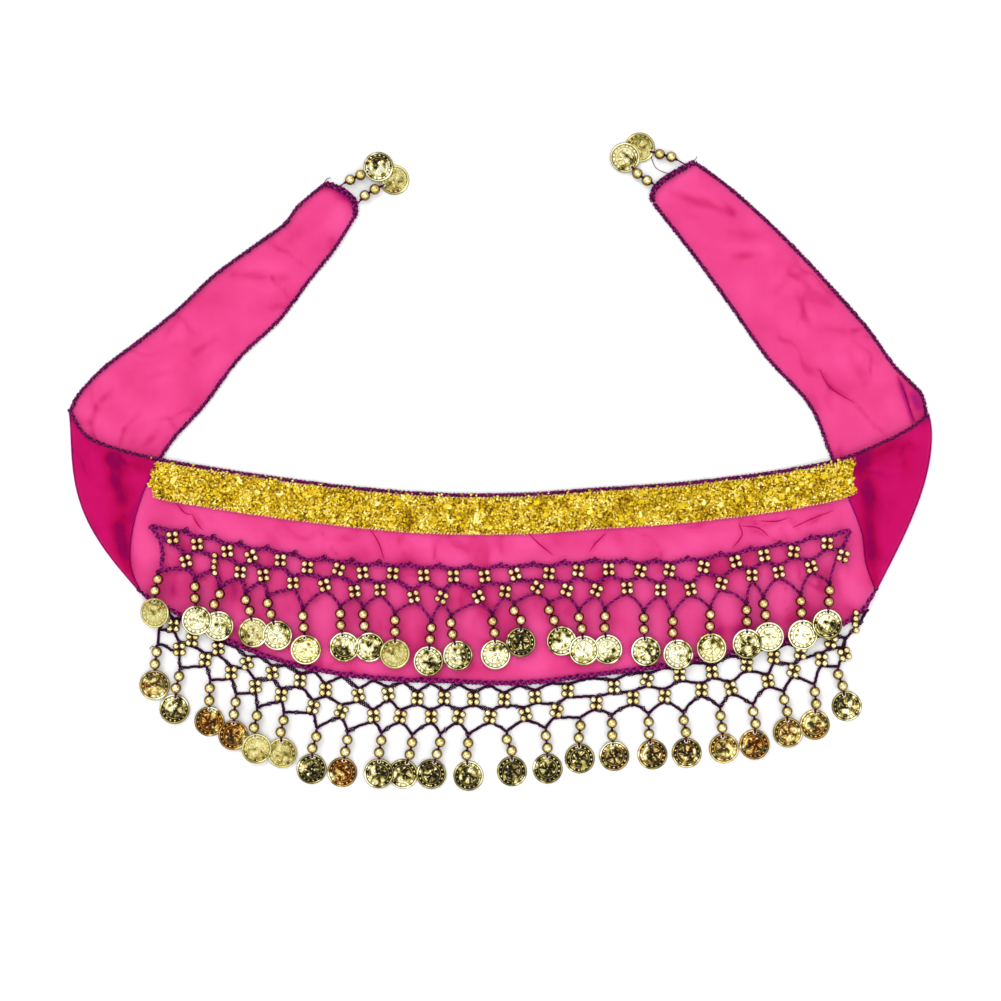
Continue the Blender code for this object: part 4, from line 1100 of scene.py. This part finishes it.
CHAIN_TUCK = CLUSTER_TUCK + 0.5
CHAIN_LIFT = 0.95
CHAIN_STRAY = 0.035           # in lengths of the stretch between two stitches
ROUTE_SHARES = (0.0, 0.2, 0.4, 0.6, 0.8)


def chain_one(trim, ground, left, right):
    """The top chain: down to each first cluster, and up between them."""
    points = [left]
    for first, second in zip(trim, trim[1:] + [None]):
        points.append((first.x1, first.y1 + CHAIN_TUCK))
        if second:
            middle = (first.x1 + second.x1) / 2
            on_hem = hem_y(middle, 1.0) - HEM_CLEARANCE
            raised = (first.y1 + second.y1) / 2 + CHAIN_RISE
            points.append((middle, raised if ground is on_cloth else on_hem))
    return points + [right]


def chain_two(trim, left, right):
    """The middle chain: from under each first cluster to the top of the second."""
    points = [left]
    for repeat in trim:
        points.append((repeat.x1, repeat.y1 - CHAIN_TUCK))
        points.append((repeat.x2, repeat.y2 + CHAIN_TUCK))
    return points + right


def chain_three(trim, right):
    """The bottom chain: from each drop to under the second cluster."""
    points = []
    for repeat in trim:
        points.append((repeat.bead_x, repeat.bead_y + THREAD_LEAD))
        points.append((repeat.x2, repeat.y2 - CHAIN_TUCK))
    return points[:-1] + right


def arch_y(low, high, share):
    """Steep from the lower stitch, where share is 0, and level at the higher one."""
    return low + (high - low) * (0.8 * math.sin(math.pi / 2 * share) + 0.2 * share)


def route(points, ground, arched):
    """A chain's way from stitch to stitch: arched over the drops, waved elsewhere."""
    places = []
    for first, second in zip(points, points[1:]):
        length = math.hypot(second[0] - first[0], second[1] - first[1])
        for share in ROUTE_SHARES:
            x = first[0] + (second[0] - first[0]) * share
            if arched:
                y = arch_y(*sorted((first[1], second[1])), share if first[1] < second[1] else 1 - share)
            else:
                y = first[1] + (second[1] - first[1]) * (0.4 * share + 0.6 * smoothstep(0, 1, share))
            stray = CHAIN_STRAY * length * noise.noise(Vector((x / 3, y / 3, 2.2)))
            places.append((x + stray, y + stray))
    places.append(points[-1])
    return [(x, y, ground(x, y) + CHAIN_LIFT) for x, y in places]


def swung(start, length, degrees):
    turn = math.radians(degrees)
    return start + Vector((math.sin(turn), -math.cos(turn))) * length


def drop_points(repeat, bead_step, coin_step):
    first = Vector((repeat.bead_x, repeat.bead_y))
    second = swung(first, bead_step, repeat.bead_swing)
    return first, second, swung(second, coin_step, repeat.coin_swing)


def coin_height(centre, layer, ground, obstacles):
    """The z of a coin's underside, above whatever lies below it."""
    base = ground(centre.x, centre.y)
    for x, y, reach, top in obstacles:
        if (centre - Vector((x, y))).length < COIN_RADIUS + reach:
            base = max(base, top + GAP)
    return base + layer * (COIN_THICK + GAP)


CLUSTER_REACH = 1.80
CLUSTER_SPIN = 0.20
COLUMN_STEP = 1.7             # in bead radii
SIDE_ON_LEAN = 0.35
SIDE_ON_AXIS = (0.9, 0.2, 0.3)
BEAD_AXIS_STRAY = 0.12
BEAD_TONES = (0.8, 1.0)
# On the panel the beads are painted redder: a painted reflection of the pink cloth under them.
BEAD_CLOTH_REFLECTION = {on_cloth: 0.85, on_surface: 0.1}       # the upper trim's beads look redder
DROP_THREAD, DROP_LOOP_THREAD, DROP_LOOP_REACH = 0.38, 0.24, 0.45
COIN_THREAD_LIFT = 0.95
TOP_KNOT = {on_cloth: 1.5, on_surface: 0.85}


def add_cluster(beads, threads, x, y, ground, side_on=False):
    """Four small beads in a square, strung on a ring of thread; side on, they lie in a column."""
    spin = RANDOM.normal(0, CLUSTER_SPIN)
    base = ground(x, y) + SMALL_BEAD_RADIUS
    reach = CLUSTER_REACH * math.sqrt(2)
    for quarter in range(4):
        turn = spin + math.pi / 4 + quarter * math.pi / 2
        centre = (x + reach * math.cos(turn), y + reach * math.sin(turn), base)
        axis = (-math.sin(turn), math.cos(turn), RANDOM.normal(0, BEAD_AXIS_STRAY))
        if side_on:
            rise = (quarter - 1.5) * SMALL_BEAD_RADIUS * COLUMN_STEP
            centre, axis = (x + SIDE_ON_LEAN * math.cos(2.4 * quarter), y + rise, base), SIDE_ON_AXIS
        add_bead(beads, CLUSTER_BEAD, centre, axis, RANDOM.uniform(*BEAD_TONES), BEAD_CLOTH_REFLECTION[ground])
    small_loop(threads, x, y, base - 0.7, radius=2.2, thread=0.22)
    knot(threads, x, y, base - 1.1, radius=0.6)
    for side in (-1, 1):
        knot(threads, x, y + side * (CLUSTER_TUCK + 0.4), base - 0.7, radius=0.8)


def add_drop(beads, threads, start, places, coin, ground, coin_base):
    """The thread of a drop, its two beads and the knots between them."""
    first, second = places
    base = ground(first.x, first.y) + BEAD_RADIUS
    down = (coin - second).normalized()
    hole = coin + (second - coin).normalized() * (COIN_RADIUS - COIN_HOLE_INSET)
    for place, towards in ((first, first - start), (second, second - first)):
        axis = (towards.x, towards.y, RANDOM.normal(0, 0.05))
        add_bead(beads, DROP_BEAD, (place.x, place.y, base), axis, RANDOM.uniform(*BEAD_TONES),
                 BEAD_CLOTH_REFLECTION[ground])
    between = ((second.x + hole.x) / 2, (second.y + hole.y) / 2, base * 0.6 + coin_base * 0.4)
    path = [(start.x, start.y, ground(start.x, start.y) + 1.0), (first.x, first.y, base),
            (second.x, second.y, base), between, (hole.x, hole.y, coin_base + 0.9)]
    line, _ = resample(path, THREAD_STEP)
    tube(threads, line, DROP_THREAD)
    middle = (first + second) / 2
    top = first + (start - first).normalized() * (BEAD_RADIUS + 0.35)
    below = second + down * (BEAD_RADIUS + 0.4)
    size = TOP_KNOT[ground]
    knot(threads, top.x, top.y + size - 0.8, base - 0.6, size)
    knot(threads, middle.x, middle.y, base, radius=0.75)
    knot(threads, below.x, below.y, base - 1.0, radius=0.8)
    loop = np.array([(hole.x, hole.y, coin_base + COIN_THREAD_LIFT),
                     (hole.x * 0.5 + below.x * 0.5, hole.y * 0.5 + below.y * 0.5, coin_base + 1.3),
                     (below.x, below.y, base - 1.0)])
    side = np.array((-down.y, down.x, 0)) * DROP_LOOP_REACH
    for sign in (-1, 1):
        tube(threads, loop + side * sign, DROP_LOOP_THREAD, sides=5)


# Coins

COIN_TURNS = 72
TURNS = [math.tau * j / COIN_TURNS for j in range(COIN_TURNS)]
COIN_RINGS = [0.45, 0.9, 1.2, 1.6, 2.1, 2.6, 3.1, 3.6, 4.1, 4.5, 4.85, 5.15, 5.4, 5.65, 5.95,
              6.2, 6.45, 6.7, 6.95, 7.2, 7.42, 7.62, 7.95, 8.2]
COIN_BODY = 0.42
COIN_EDGE = (                 # radius and height of each ring round the edge
    (COIN_RADIUS, COIN_BODY * 0.9), (COIN_RADIUS, 0.12), (COIN_RADIUS - 0.15, 0.0),
)
COIN_DISH = 0.4
FACE_HEIGHT = 0.55
FULLY_RAISED = 0.45
RIM_START, RIM_MIDDLE, RIM_HALF_WIDTH = 6.9, 7.66, 0.54
# The rim is a painted highlight; the coin's side wall is painted dark on its lit and its shaded side.
RIM_RAISED, EDGE_RAISED, EDGE_STEEP = 0.88, 0.05, 0.9
RIM_SHINE_ON_DARK_SIDE = 0.76             # how much of the rim's shine is left on a coin's dark side
STEEP_EDGE, STEEP_STEP = 0.34, 0.15
RIM_HEIGHT, RIM_SLOPE = 0.34, (7.25, 7.55)
DOTS, DOT_RING, DOT_RADIUS, DOT_HEIGHT = 16, 6.4, 0.66, 0.44
CIRCLE_RADIUS, CIRCLE_HALF_WIDTH, CIRCLE_HEIGHT = 5.25, 0.24, 0.30
PETALS, PETAL_BEND, PETAL_HEIGHT = 5, 0.30, 0.40
PETALS_GROW, PETALS_FADE = (1.0, 2.0), (3.7, 4.9)
TIP_RING, TIP_HALF_WIDTH, TIP_HEIGHT = 4.0, 0.5, 0.30
LUMP_SIZE, LUMP_SEED, LUMP_HEIGHT, LUMPS_FADE = 1.15, 4.0, 0.50, (4.4, 5.0)
BOSS_EDGE, BOSS_RADIUS, BOSS_HEIGHT = 0.8, 0.85, 0.30
COIN_HOLE, HOLE_SIDES = 0.75, 16
HOLE_PROFILE = [(-0.25, COIN_HOLE), (0.30, COIN_HOLE), (0.32, COIN_HOLE + 0.3), (-0.25, COIN_HOLE + 0.3)]
HOLE_TOP, HOLE_DEPTH = 0.16, 0.1


def worn_rosette(r, turn):
    """Height inside the inner circle: bent petals with strokes and tips between them, lumps and a boss."""
    swirl = math.cos(PETALS * (turn + PETAL_BEND * math.sin(2 * turn + 0.9 * r)) + 0.85 * r)
    place = Vector((r * math.cos(turn), r * math.sin(turn), LUMP_SEED)) / LUMP_SIZE
    height = LUMP_HEIGHT * max(0.0, noise.noise(place)) * (1 - smoothstep(*LUMPS_FADE, r))
    petal = max(0.0, swirl) ** 0.7 * smoothstep(*PETALS_GROW, r) * (1 - smoothstep(*PETALS_FADE, r))
    height += PETAL_HEIGHT * petal * (0.7 + 0.3 * math.cos(3 * PETALS * turn + 2.5 * r))
    height += TIP_HEIGHT * max(0.0, -swirl) ** 2 * math.exp(-((r - TIP_RING) / TIP_HALF_WIDTH) ** 2)
    if r < BOSS_EDGE:
        height += BOSS_HEIGHT * math.sqrt(1 - (r / BOSS_RADIUS) ** 2)
    return height


def relief(r, turn):
    """Height of a coin's stamped face: rim, ring of dots, inner circle and rosette."""
    dot = (turn * DOTS / math.tau) % 1.0 - 0.5
    away = math.hypot(dot * math.tau * DOT_RING / DOTS, r - DOT_RING)
    height = RIM_HEIGHT * smoothstep(*RIM_SLOPE, r)
    height += DOT_HEIGHT * max(0.0, 1 - (away / DOT_RADIUS) ** 2)
    height += CIRCLE_HEIGHT * math.exp(-((r - CIRCLE_RADIUS) / CIRCLE_HALF_WIDTH) ** 2)
    return height + worn_rosette(r, turn)


def steepness(r, turn):
    """How steep the stamped face is, from 0 on a flat to 1 on a sharp edge."""
    outward = relief(r + STEEP_STEP, turn) - relief(max(r - STEEP_STEP, 0.0), turn)
    around = relief(r, turn + STEEP_STEP / r) - relief(r, turn - STEEP_STEP / r)
    return min(math.hypot(outward, around) / STEEP_EDGE, 1.0)


def rim_share(r):
    """How much painted highlight the rim gets: a narrow line between its groove and its outer edge, which
    are left painted dark.
    """
    return RIM_RAISED * max(0.0, 1 - ((r - RIM_MIDDLE) / RIM_HALF_WIDTH) ** 2)


def coin_face():
    """The stamped side's points, ring by ring and then the middle, and how raised and steep each is."""
    points, raised, steep = [], [], []
    for r in COIN_RINGS:
        for turn in TURNS:
            height = relief(r, turn)
            points.append((r * math.cos(turn), r * math.sin(turn), COIN_BODY + height * FACE_HEIGHT))
            raised.append(RIM_SHINE_ON_DARK_SIDE * rim_share(r) if r > RIM_START else min(height / FULLY_RAISED, 1.0))
            steep.append(steepness(r, turn) if r < RIM_START else 1 - rim_share(r))
    points.append((0, 0, COIN_BODY + relief(0, 0) * FACE_HEIGHT))
    return points, raised + [1.0], steep + [0.0]


def coin_template():
    """One stamped coin: its points, its faces, and how raised and how steep each point is."""
    points, raised, steep = coin_face()
    centre = len(points) - 1
    faces = grid_faces(len(COIN_RINGS), COIN_TURNS, wrap=True)
    faces += [(j, (j + 1) % COIN_TURNS, centre) for j in range(COIN_TURNS)]
    starts = [centre - COIN_TURNS]
    for r, z in COIN_EDGE:
        starts.append(len(points))
        points += [(r * math.cos(turn), r * math.sin(turn), z) for turn in TURNS]
        raised += [EDGE_RAISED] * COIN_TURNS
        steep += [EDGE_STEEP] * COIN_TURNS
    for above, below in zip(starts, starts[1:]):
        for j in range(COIN_TURNS):
            k = (j + 1) % COIN_TURNS
            faces.append((below + j, below + k, above + k, above + j))
    faces.append(tuple(range(starts[-1] + COIN_TURNS - 1, starts[-1] - 1, -1)))
    return np.array(points), faces, np.array(raised), np.array(steep)


COIN_POINTS, COIN_FACES, COIN_RAISED, COIN_STEEP = coin_template()


# How a coin's colour is painted: how much of it is painted lit rather than in painted shade, how even it is,
# and how rusty its patches are
Tone = namedtuple("Tone", "light haze warmth")
# The names say how each coin looks, mostly through its painted light: 'silver' and 'pale' are painted nearly
# all lit, 'half' half lit, 'dusk' and 'dark' mostly in painted shade.
TONES = {
    "silver": Tone(0.84, 0.0, 0.0), "pale": Tone(0.56, 0.06, 0.0), "golden": Tone(0.42, 0.28, 0.12),
    "gold": Tone(0.26, 0.62, 0.15), "half": Tone(0.08, 0.0, 0.05), "dusk": Tone(-0.26, 0.03, 0.08),
    "ochre": Tone(-0.26, 0.26, 0.46), "warm": Tone(-0.46, 0.0, 0.36), "dark": Tone(-0.72, 0.0, 0.06),
    "rust": Tone(-0.54, 0.16, 0.88),
}


# Painted light across a coin: a slope, wandering patches, and how softly it turns to painted shade
LIT_ACROSS, LIT_WANDER, LIT_SOFTNESS = 0.7, 1.3, 0.7
LIT_WANDER_SCALE, PATCH_SCALE = 3.0, 4.5
# Painted highlights on raised relief in the shade, and painted dark lines on steep edges in the light
DARK_SIDE_FLAT, DARK_SIDE_RAISED = 0.01, 0.80
STEEP_DARKENING = 0.84
HAZE_FLAT, HAZE_RAISED = 0.44, 0.22


def coin_shades(tone):
    """Shades and warmths of a coin: painted light on one side and painted shade on the other, with painted
    highlights on raised relief in the shade and painted dark lines on steep edges in the light; the warmths
    are rust patches.
    """
    turn = RANDOM.uniform(0, math.tau)
    across = (COIN_POINTS[:, 0] * math.cos(turn) + COIN_POINTS[:, 1] * math.sin(turn)) / COIN_RADIUS
    seed = RANDOM.uniform(0, 50)
    plans = [Vector((x, y)) for x, y, _ in COIN_POINTS]
    lit_wander = np.array([ripple(plan, LIT_WANDER_SCALE, seed) for plan in plans])
    patches = np.array([ripple(plan, PATCH_SCALE, seed + 9) for plan in plans])
    light = np.clip(0.5 + (tone.light + LIT_ACROSS * across + LIT_WANDER * lit_wander) / LIT_SOFTNESS, 0, 1)
    light = light * light * (3 - 2 * light)
    dark_side = (DARK_SIDE_FLAT + DARK_SIDE_RAISED * COIN_RAISED ** 1.2) * (0.75 + 0.5 * np.clip(0.5 + 2 * patches, 0, 1))
    shades = (1 - light) * dark_side + light * (1.0 - STEEP_DARKENING * COIN_STEEP)
    shades = shades * (1 - tone.haze) + tone.haze * (HAZE_FLAT + HAZE_RAISED * COIN_RAISED)
    return np.clip(shades, 0, 1), np.clip(tone.warmth * (0.9 + 1.8 * patches), 0, 1)


def add_coin(bag, holes, centre, towards, base, tilt, tone):
    """A coin with its hole towards its beads, dished and tilted a little."""
    up = (towards - centre).normalized()
    dish = RANDOM.uniform(-COIN_DISH, COIN_DISH)
    away = np.hypot(COIN_POINTS[:, 0], COIN_POINTS[:, 1]) / COIN_RADIUS
    placed = spun(COIN_POINTS, RANDOM.uniform(0, math.tau))
    slope = np.array((math.tan(tilt[0]), math.tan(tilt[1])))
    lift = 0.8 * COIN_RADIUS * np.abs(slope).sum() + max(0.0, -dish)
    placed[:, 2] += placed[:, :2] @ slope + dish * away ** 2 + lift
    bag.add(placed + np.array((centre.x, centre.y, base)), COIN_FACES, *coin_shades(tone))
    hole = centre + up * (COIN_RADIUS - COIN_HOLE_INSET)
    rise = base + COIN_BODY + lift + float(np.array(hole - centre) @ slope)
    add_hole(bag, holes, hole.x, hole.y, rise)


def add_hole(bag, holes, x, y, z):
    """A coin's hole: a raised edge, and a dark disc inside it."""
    bag.add(*turned((x, y, z), (0, 0, 1), HOLE_PROFILE, HOLE_SIDES), 0.8)
    turns = np.arange(HOLE_SIDES) * math.tau / HOLE_SIDES
    top = [(x + COIN_HOLE * math.cos(t), y + COIN_HOLE * math.sin(t), z + HOLE_TOP) for t in turns]
    low = [(px, py, pz - HOLE_DEPTH) for px, py, pz in top]
    faces = [tuple(range(HOLE_SIDES)), tuple(range(2 * HOLE_SIDES - 1, HOLE_SIDES - 1, -1))]
    for j in range(HOLE_SIDES):
        k = (j + 1) % HOLE_SIDES
        faces.append((j, j + HOLE_SIDES, k + HOLE_SIDES, k))
    holes.add(top + low, faces, 0.0)


def coin_tilt(spread):
    return RANDOM.normal(0, spread), RANDOM.normal(0, spread)


DROP_CHAIN = 2
SIDE_ON = (-156.2, -56.1)     # the one cluster of the upper trim that lies side on
LOWER_END_CLUSTER = (195.8, -87.6)
UPPER_TILTS = {0: (0.36, 0.08), 5: (-0.28, 0.14)}    # coins that hang partly on their edge
UPPER_SPREAD, LOWER_SPREAD, END_SPREAD = 0.055, 0.03, 0.05
DENSE_KNOTS_TO = -60.0        # left of this x the first chain's knots are bigger
OBSTACLE_REACH = CLUSTER_SIZE * 0.7
CHAIN_OBSTACLE = (5.1, 1.8)   # reach and height


def plait_chains(threads, chains, ground):
    """The chains of a trim; those on the panel have a stitch wound over them as well."""
    for index, chain in enumerate(chains):
        line = route(chain, ground, arched=index == DROP_CHAIN)
        if ground is on_cloth:
            crochet(threads, line, width=1.5, loose=0.8, depth=1.15)
            whipping(threads, line, radius=1.35, pitch=2.4, thread=0.26, shade=0.82)
        else:
            crochet(threads, line, width=1.16, loose=1.4, depth=0.38)


def knot_arches(threads, trim, ground):
    """A knot and a loop on top of each of the first chain's arches."""
    for first, second in zip(trim, trim[1:]):
        x, y = (first.x1 + second.x1) / 2, (first.y1 + second.y1) / 2 + CHAIN_RISE + 0.6
        size = 1.5 if x < DENSE_KNOTS_TO else 0.9
        knot(threads, x, y, ground(x, y) + 1.0, size)
        small_loop(threads, x + 0.8, y + 0.8, ground(x, y) + 1.0, radius=0.75 * size)


def make_trim(label, trim, chains, steps, ground, obstacles, looks, spread, tilts, replaced):
    """One trim: its chains, then each repeat's two clusters, drop and coin."""
    threads, beads, coins = Bag(), Bag(), Bag()
    plait_chains(threads, chains, ground)
    if ground is on_cloth:
        knot_arches(threads, trim, ground)
    for index, repeat in enumerate(trim):
        add_cluster(beads, threads, repeat.x1, repeat.y1, ground)
        add_cluster(beads, threads, repeat.x2, repeat.y2, ground, side_on=(repeat.x2, repeat.y2) == SIDE_ON)
        first, second, coin = drop_points(repeat, *steps)
        start = Vector((first.x, first.y + THREAD_LEAD))
        base = coin_height(coin, repeat.layer, ground, obstacles)
        add_drop(beads, threads, start, (first, second), coin, ground, base)
        tilt = tilts.get(index, coin_tilt(spread))
        add_coin(coins, threads, coin, second, base, tilt, TONES[repeat.tone])
    if ground is on_surface:
        add_cluster(beads, threads, *LOWER_END_CLUSTER, ground, side_on=True)
    build_trim(label, threads, beads, coins, looks, replaced)


def build_trim(label, threads, beads, coins, looks, replaced):
    """The three pieces of a trim, each with its own material slot."""
    kinds = (("crochet", threads, "crochet_thread"), ("beads", beads, "bead_gold"),
             ("coins", coins, "coin_gold"))
    for kind, bag, slot in kinds:
        piece = bag.build(f"{label}_{kind}", looks[slot])
        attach(piece, BODY)
        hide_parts(replaced)


def make_upper_trim(looks):
    chains = [chain_one(UPPER_TRIM, on_cloth, UPPER_LEFT_EDGE[0], UPPER_RIGHT_EDGE[0]),
              chain_two(UPPER_TRIM, UPPER_LEFT_EDGE[1], [UPPER_RIGHT_EDGE[1]]),
              chain_three(UPPER_TRIM, [UPPER_RIGHT_EDGE[1]]), UPPER_LEFT_EDGE, UPPER_RIGHT_EDGE]
    places = [(r.x1, r.y1) for r in LOWER_TRIM] + [(r.x2, r.y2) for r in LOWER_TRIM]
    obstacles = [(x, y, OBSTACLE_REACH, CLUSTER_HEIGHT) for x, y in places]
    chain = chain_one(LOWER_TRIM, on_surface, LOWER_LEFT_EDGE[0], LOWER_RIGHT_EDGE[2])
    obstacles += [(x, y, *CHAIN_OBSTACLE) for x, y in chain + LOWER_LEFT_EDGE + LOWER_RIGHT_EDGE]
    make_trim("upper", UPPER_TRIM, chains, (UPPER_BEAD_STEP, UPPER_COIN_STEP), on_cloth,
              obstacles, looks, UPPER_SPREAD, UPPER_TILTS, "upper_net")


def make_lower_trim(looks):
    chains = [chain_one(LOWER_TRIM, on_surface, LOWER_LEFT_EDGE[0], LOWER_RIGHT_EDGE[2]),
              chain_two(LOWER_TRIM, LOWER_LEFT_EDGE[1], [LOWER_RIGHT_EDGE[2]]),
              chain_three(LOWER_TRIM, []), LOWER_LEFT_EDGE, LOWER_RIGHT_EDGE]
    make_trim("lower", LOWER_TRIM, chains, (LOWER_BEAD_STEP, LOWER_COIN_STEP), on_surface,
              [], looks, LOWER_SPREAD, {}, "lower_net")


def make_end_drops(label, sections, drops, looks, replaced):
    """Two drops on a tie's end, hung from a chain sewn along it."""
    last = sections[-1]
    top, low = Vector((last.top_x, last.top_y)), Vector((last.low_x, last.low_y))
    along = (low - top).normalized()
    out = Vector((-along.y, along.x))
    if out.dot(Vector((drops[0].bead1_x, drops[0].bead1_y)) - top) < 0:
        out = -out
    points = [cloth_point(sections, 1.0, share / 6) + out * END_THREAD_OUT for share in range(7)]
    threads, beads, coins = Bag(), Bag(), Bag()
    crochet(threads, [(p.x, p.y, CHAIN_LIFT) for p in points], width=0.8)
    for drop in drops:
        start = Vector((drop.x, drop.y)) + out * END_THREAD_OUT * 0.6
        first, second = Vector((drop.bead1_x, drop.bead1_y)), Vector((drop.bead2_x, drop.bead2_y))
        coin = Vector((drop.coin_x, drop.coin_y))
        base = drop.layer * (COIN_THICK + GAP)
        add_drop(beads, threads, start, (first, second), coin, on_surface, base)
        add_coin(coins, threads, coin, second, base, coin_tilt(END_SPREAD), TONES[drop.tone])
    build_trim(label, threads, beads, coins, looks, replaced)


# Stage, light and camera

PHOTO_WIDTH = 550.55
PHOTO_CENTRE = (0.83, -21.2)
LENS, SENSOR = 85.0, 36.0
FLOOR_REACH = 2500.0


def make_camera():
    data = bpy.data.cameras.new("camera")
    data.lens, data.sensor_width = LENS, SENSOR
    camera = bpy.data.objects.new("camera", data)
    distance = PHOTO_WIDTH * LENS / SENSOR
    camera.location = Vector((*PHOTO_CENTRE, distance)) * MM
    bpy.context.scene.collection.objects.link(camera)
    bpy.context.scene.camera = camera


def make_floor():
    bag = Bag()
    corners = [(x * FLOOR_REACH, y * FLOOR_REACH, 0) for x, y in ((-1, -1), (1, -1), (1, 1), (-1, 1))]
    bag.add(corners, [(0, 1, 2, 3)])
    bag.build("floor", floor_look(), smooth=False)


SOFTBOX_SCALE = 2.4
SKY_STOPS = [(0.38, (0.22, 0.21, 0.20)), (0.46, (0.75, 0.74, 0.72)), (0.54, (1.25, 1.25, 1.25)),
             (0.62, (1.6, 1.6, 1.6))]
# Each lamp's name, place in metres, size and power
LAMPS = (("key", (-0.9, 1.1, 1.5), 0.9, 9.0), ("fill", (1.2, -0.7, 1.6), 1.2, 5.0))


def make_light():
    world = bpy.data.worlds.new("world")
    bpy.context.scene.world = world
    world.use_nodes = True
    nodes, links = world.node_tree.nodes, world.node_tree.links
    nodes.clear()
    coords = node(nodes, "ShaderNodeTexCoord")
    boxes = node(nodes, "ShaderNodeTexNoise", in_Scale=SOFTBOX_SCALE, in_Detail=1.0)
    links.new(coords.outputs["Generated"], boxes.inputs["Vector"])
    sky = ramp(nodes, SKY_STOPS)
    links.new(boxes.outputs["Fac"], sky.inputs["Fac"])
    background = node(nodes, "ShaderNodeBackground", in_Strength=1.08)
    links.new(sky.outputs["Color"], background.inputs["Color"])
    output = node(nodes, "ShaderNodeOutputWorld")
    links.new(background.outputs["Background"], output.inputs["Surface"])
    for name, place, size, power in LAMPS:
        data = bpy.data.lights.new(name, "AREA")
        data.size, data.energy = size, power
        lamp = bpy.data.objects.new(name, data)
        lamp.location = place
        lamp.rotation_euler = (-Vector(place)).to_track_quat("-Z", "Y").to_euler()
        bpy.context.scene.collection.objects.link(lamp)
    bpy.context.scene.view_settings.view_transform = "Standard"


def make_looks():
    return {
        "sash_cloth": chiffon_look(),
        "crochet_thread": thread_look(),
        "bead_gold": gold_look("bead_gold", BEAD_STOPS, roughness=0.18, bump_scale=260.0,
                               bump_strength=0.05, warm_stops=BEAD_REFLECTION_STOPS),
        "coin_gold": gold_look("coin_gold", COIN_STOPS, roughness=0.22, bump_scale=500.0,
                               bump_strength=0.15, grain_share=0.14, warm_stops=RUST_STOPS),
        "sequin_gold": gold_look("sequin_gold", SEQUIN_STOPS, roughness=0.34, bump_scale=300.0,
                                 bump_strength=0.1, metallic=0.85),
    }


def main():
    make_camera()
    make_floor()
    make_light()
    looks = make_looks()
    sash, rows, area = make_sash(looks["sash_cloth"])
    hems, pinches = make_hems(rows, looks["crochet_thread"]), make_pinches(rows, looks["sash_cloth"])
    for piece in (sash, hems, pinches):
        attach(piece, BODY)
    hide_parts("panel", "tie_left", "tie_right")
    backing, sequins = make_band_backing(looks["sequin_gold"]), make_sequins(looks["sequin_gold"])
    for piece in (backing, sequins):
        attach(piece, BODY)
        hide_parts("sequin_band")
    make_upper_trim(looks)
    make_lower_trim(looks)
    make_end_drops("left_end", LEFT_TIE, LEFT_END_DROPS, looks, "end_drops_left")
    make_end_drops("right_end", RIGHT_TIE, RIGHT_END_DROPS, looks, "end_drops_right")


main()
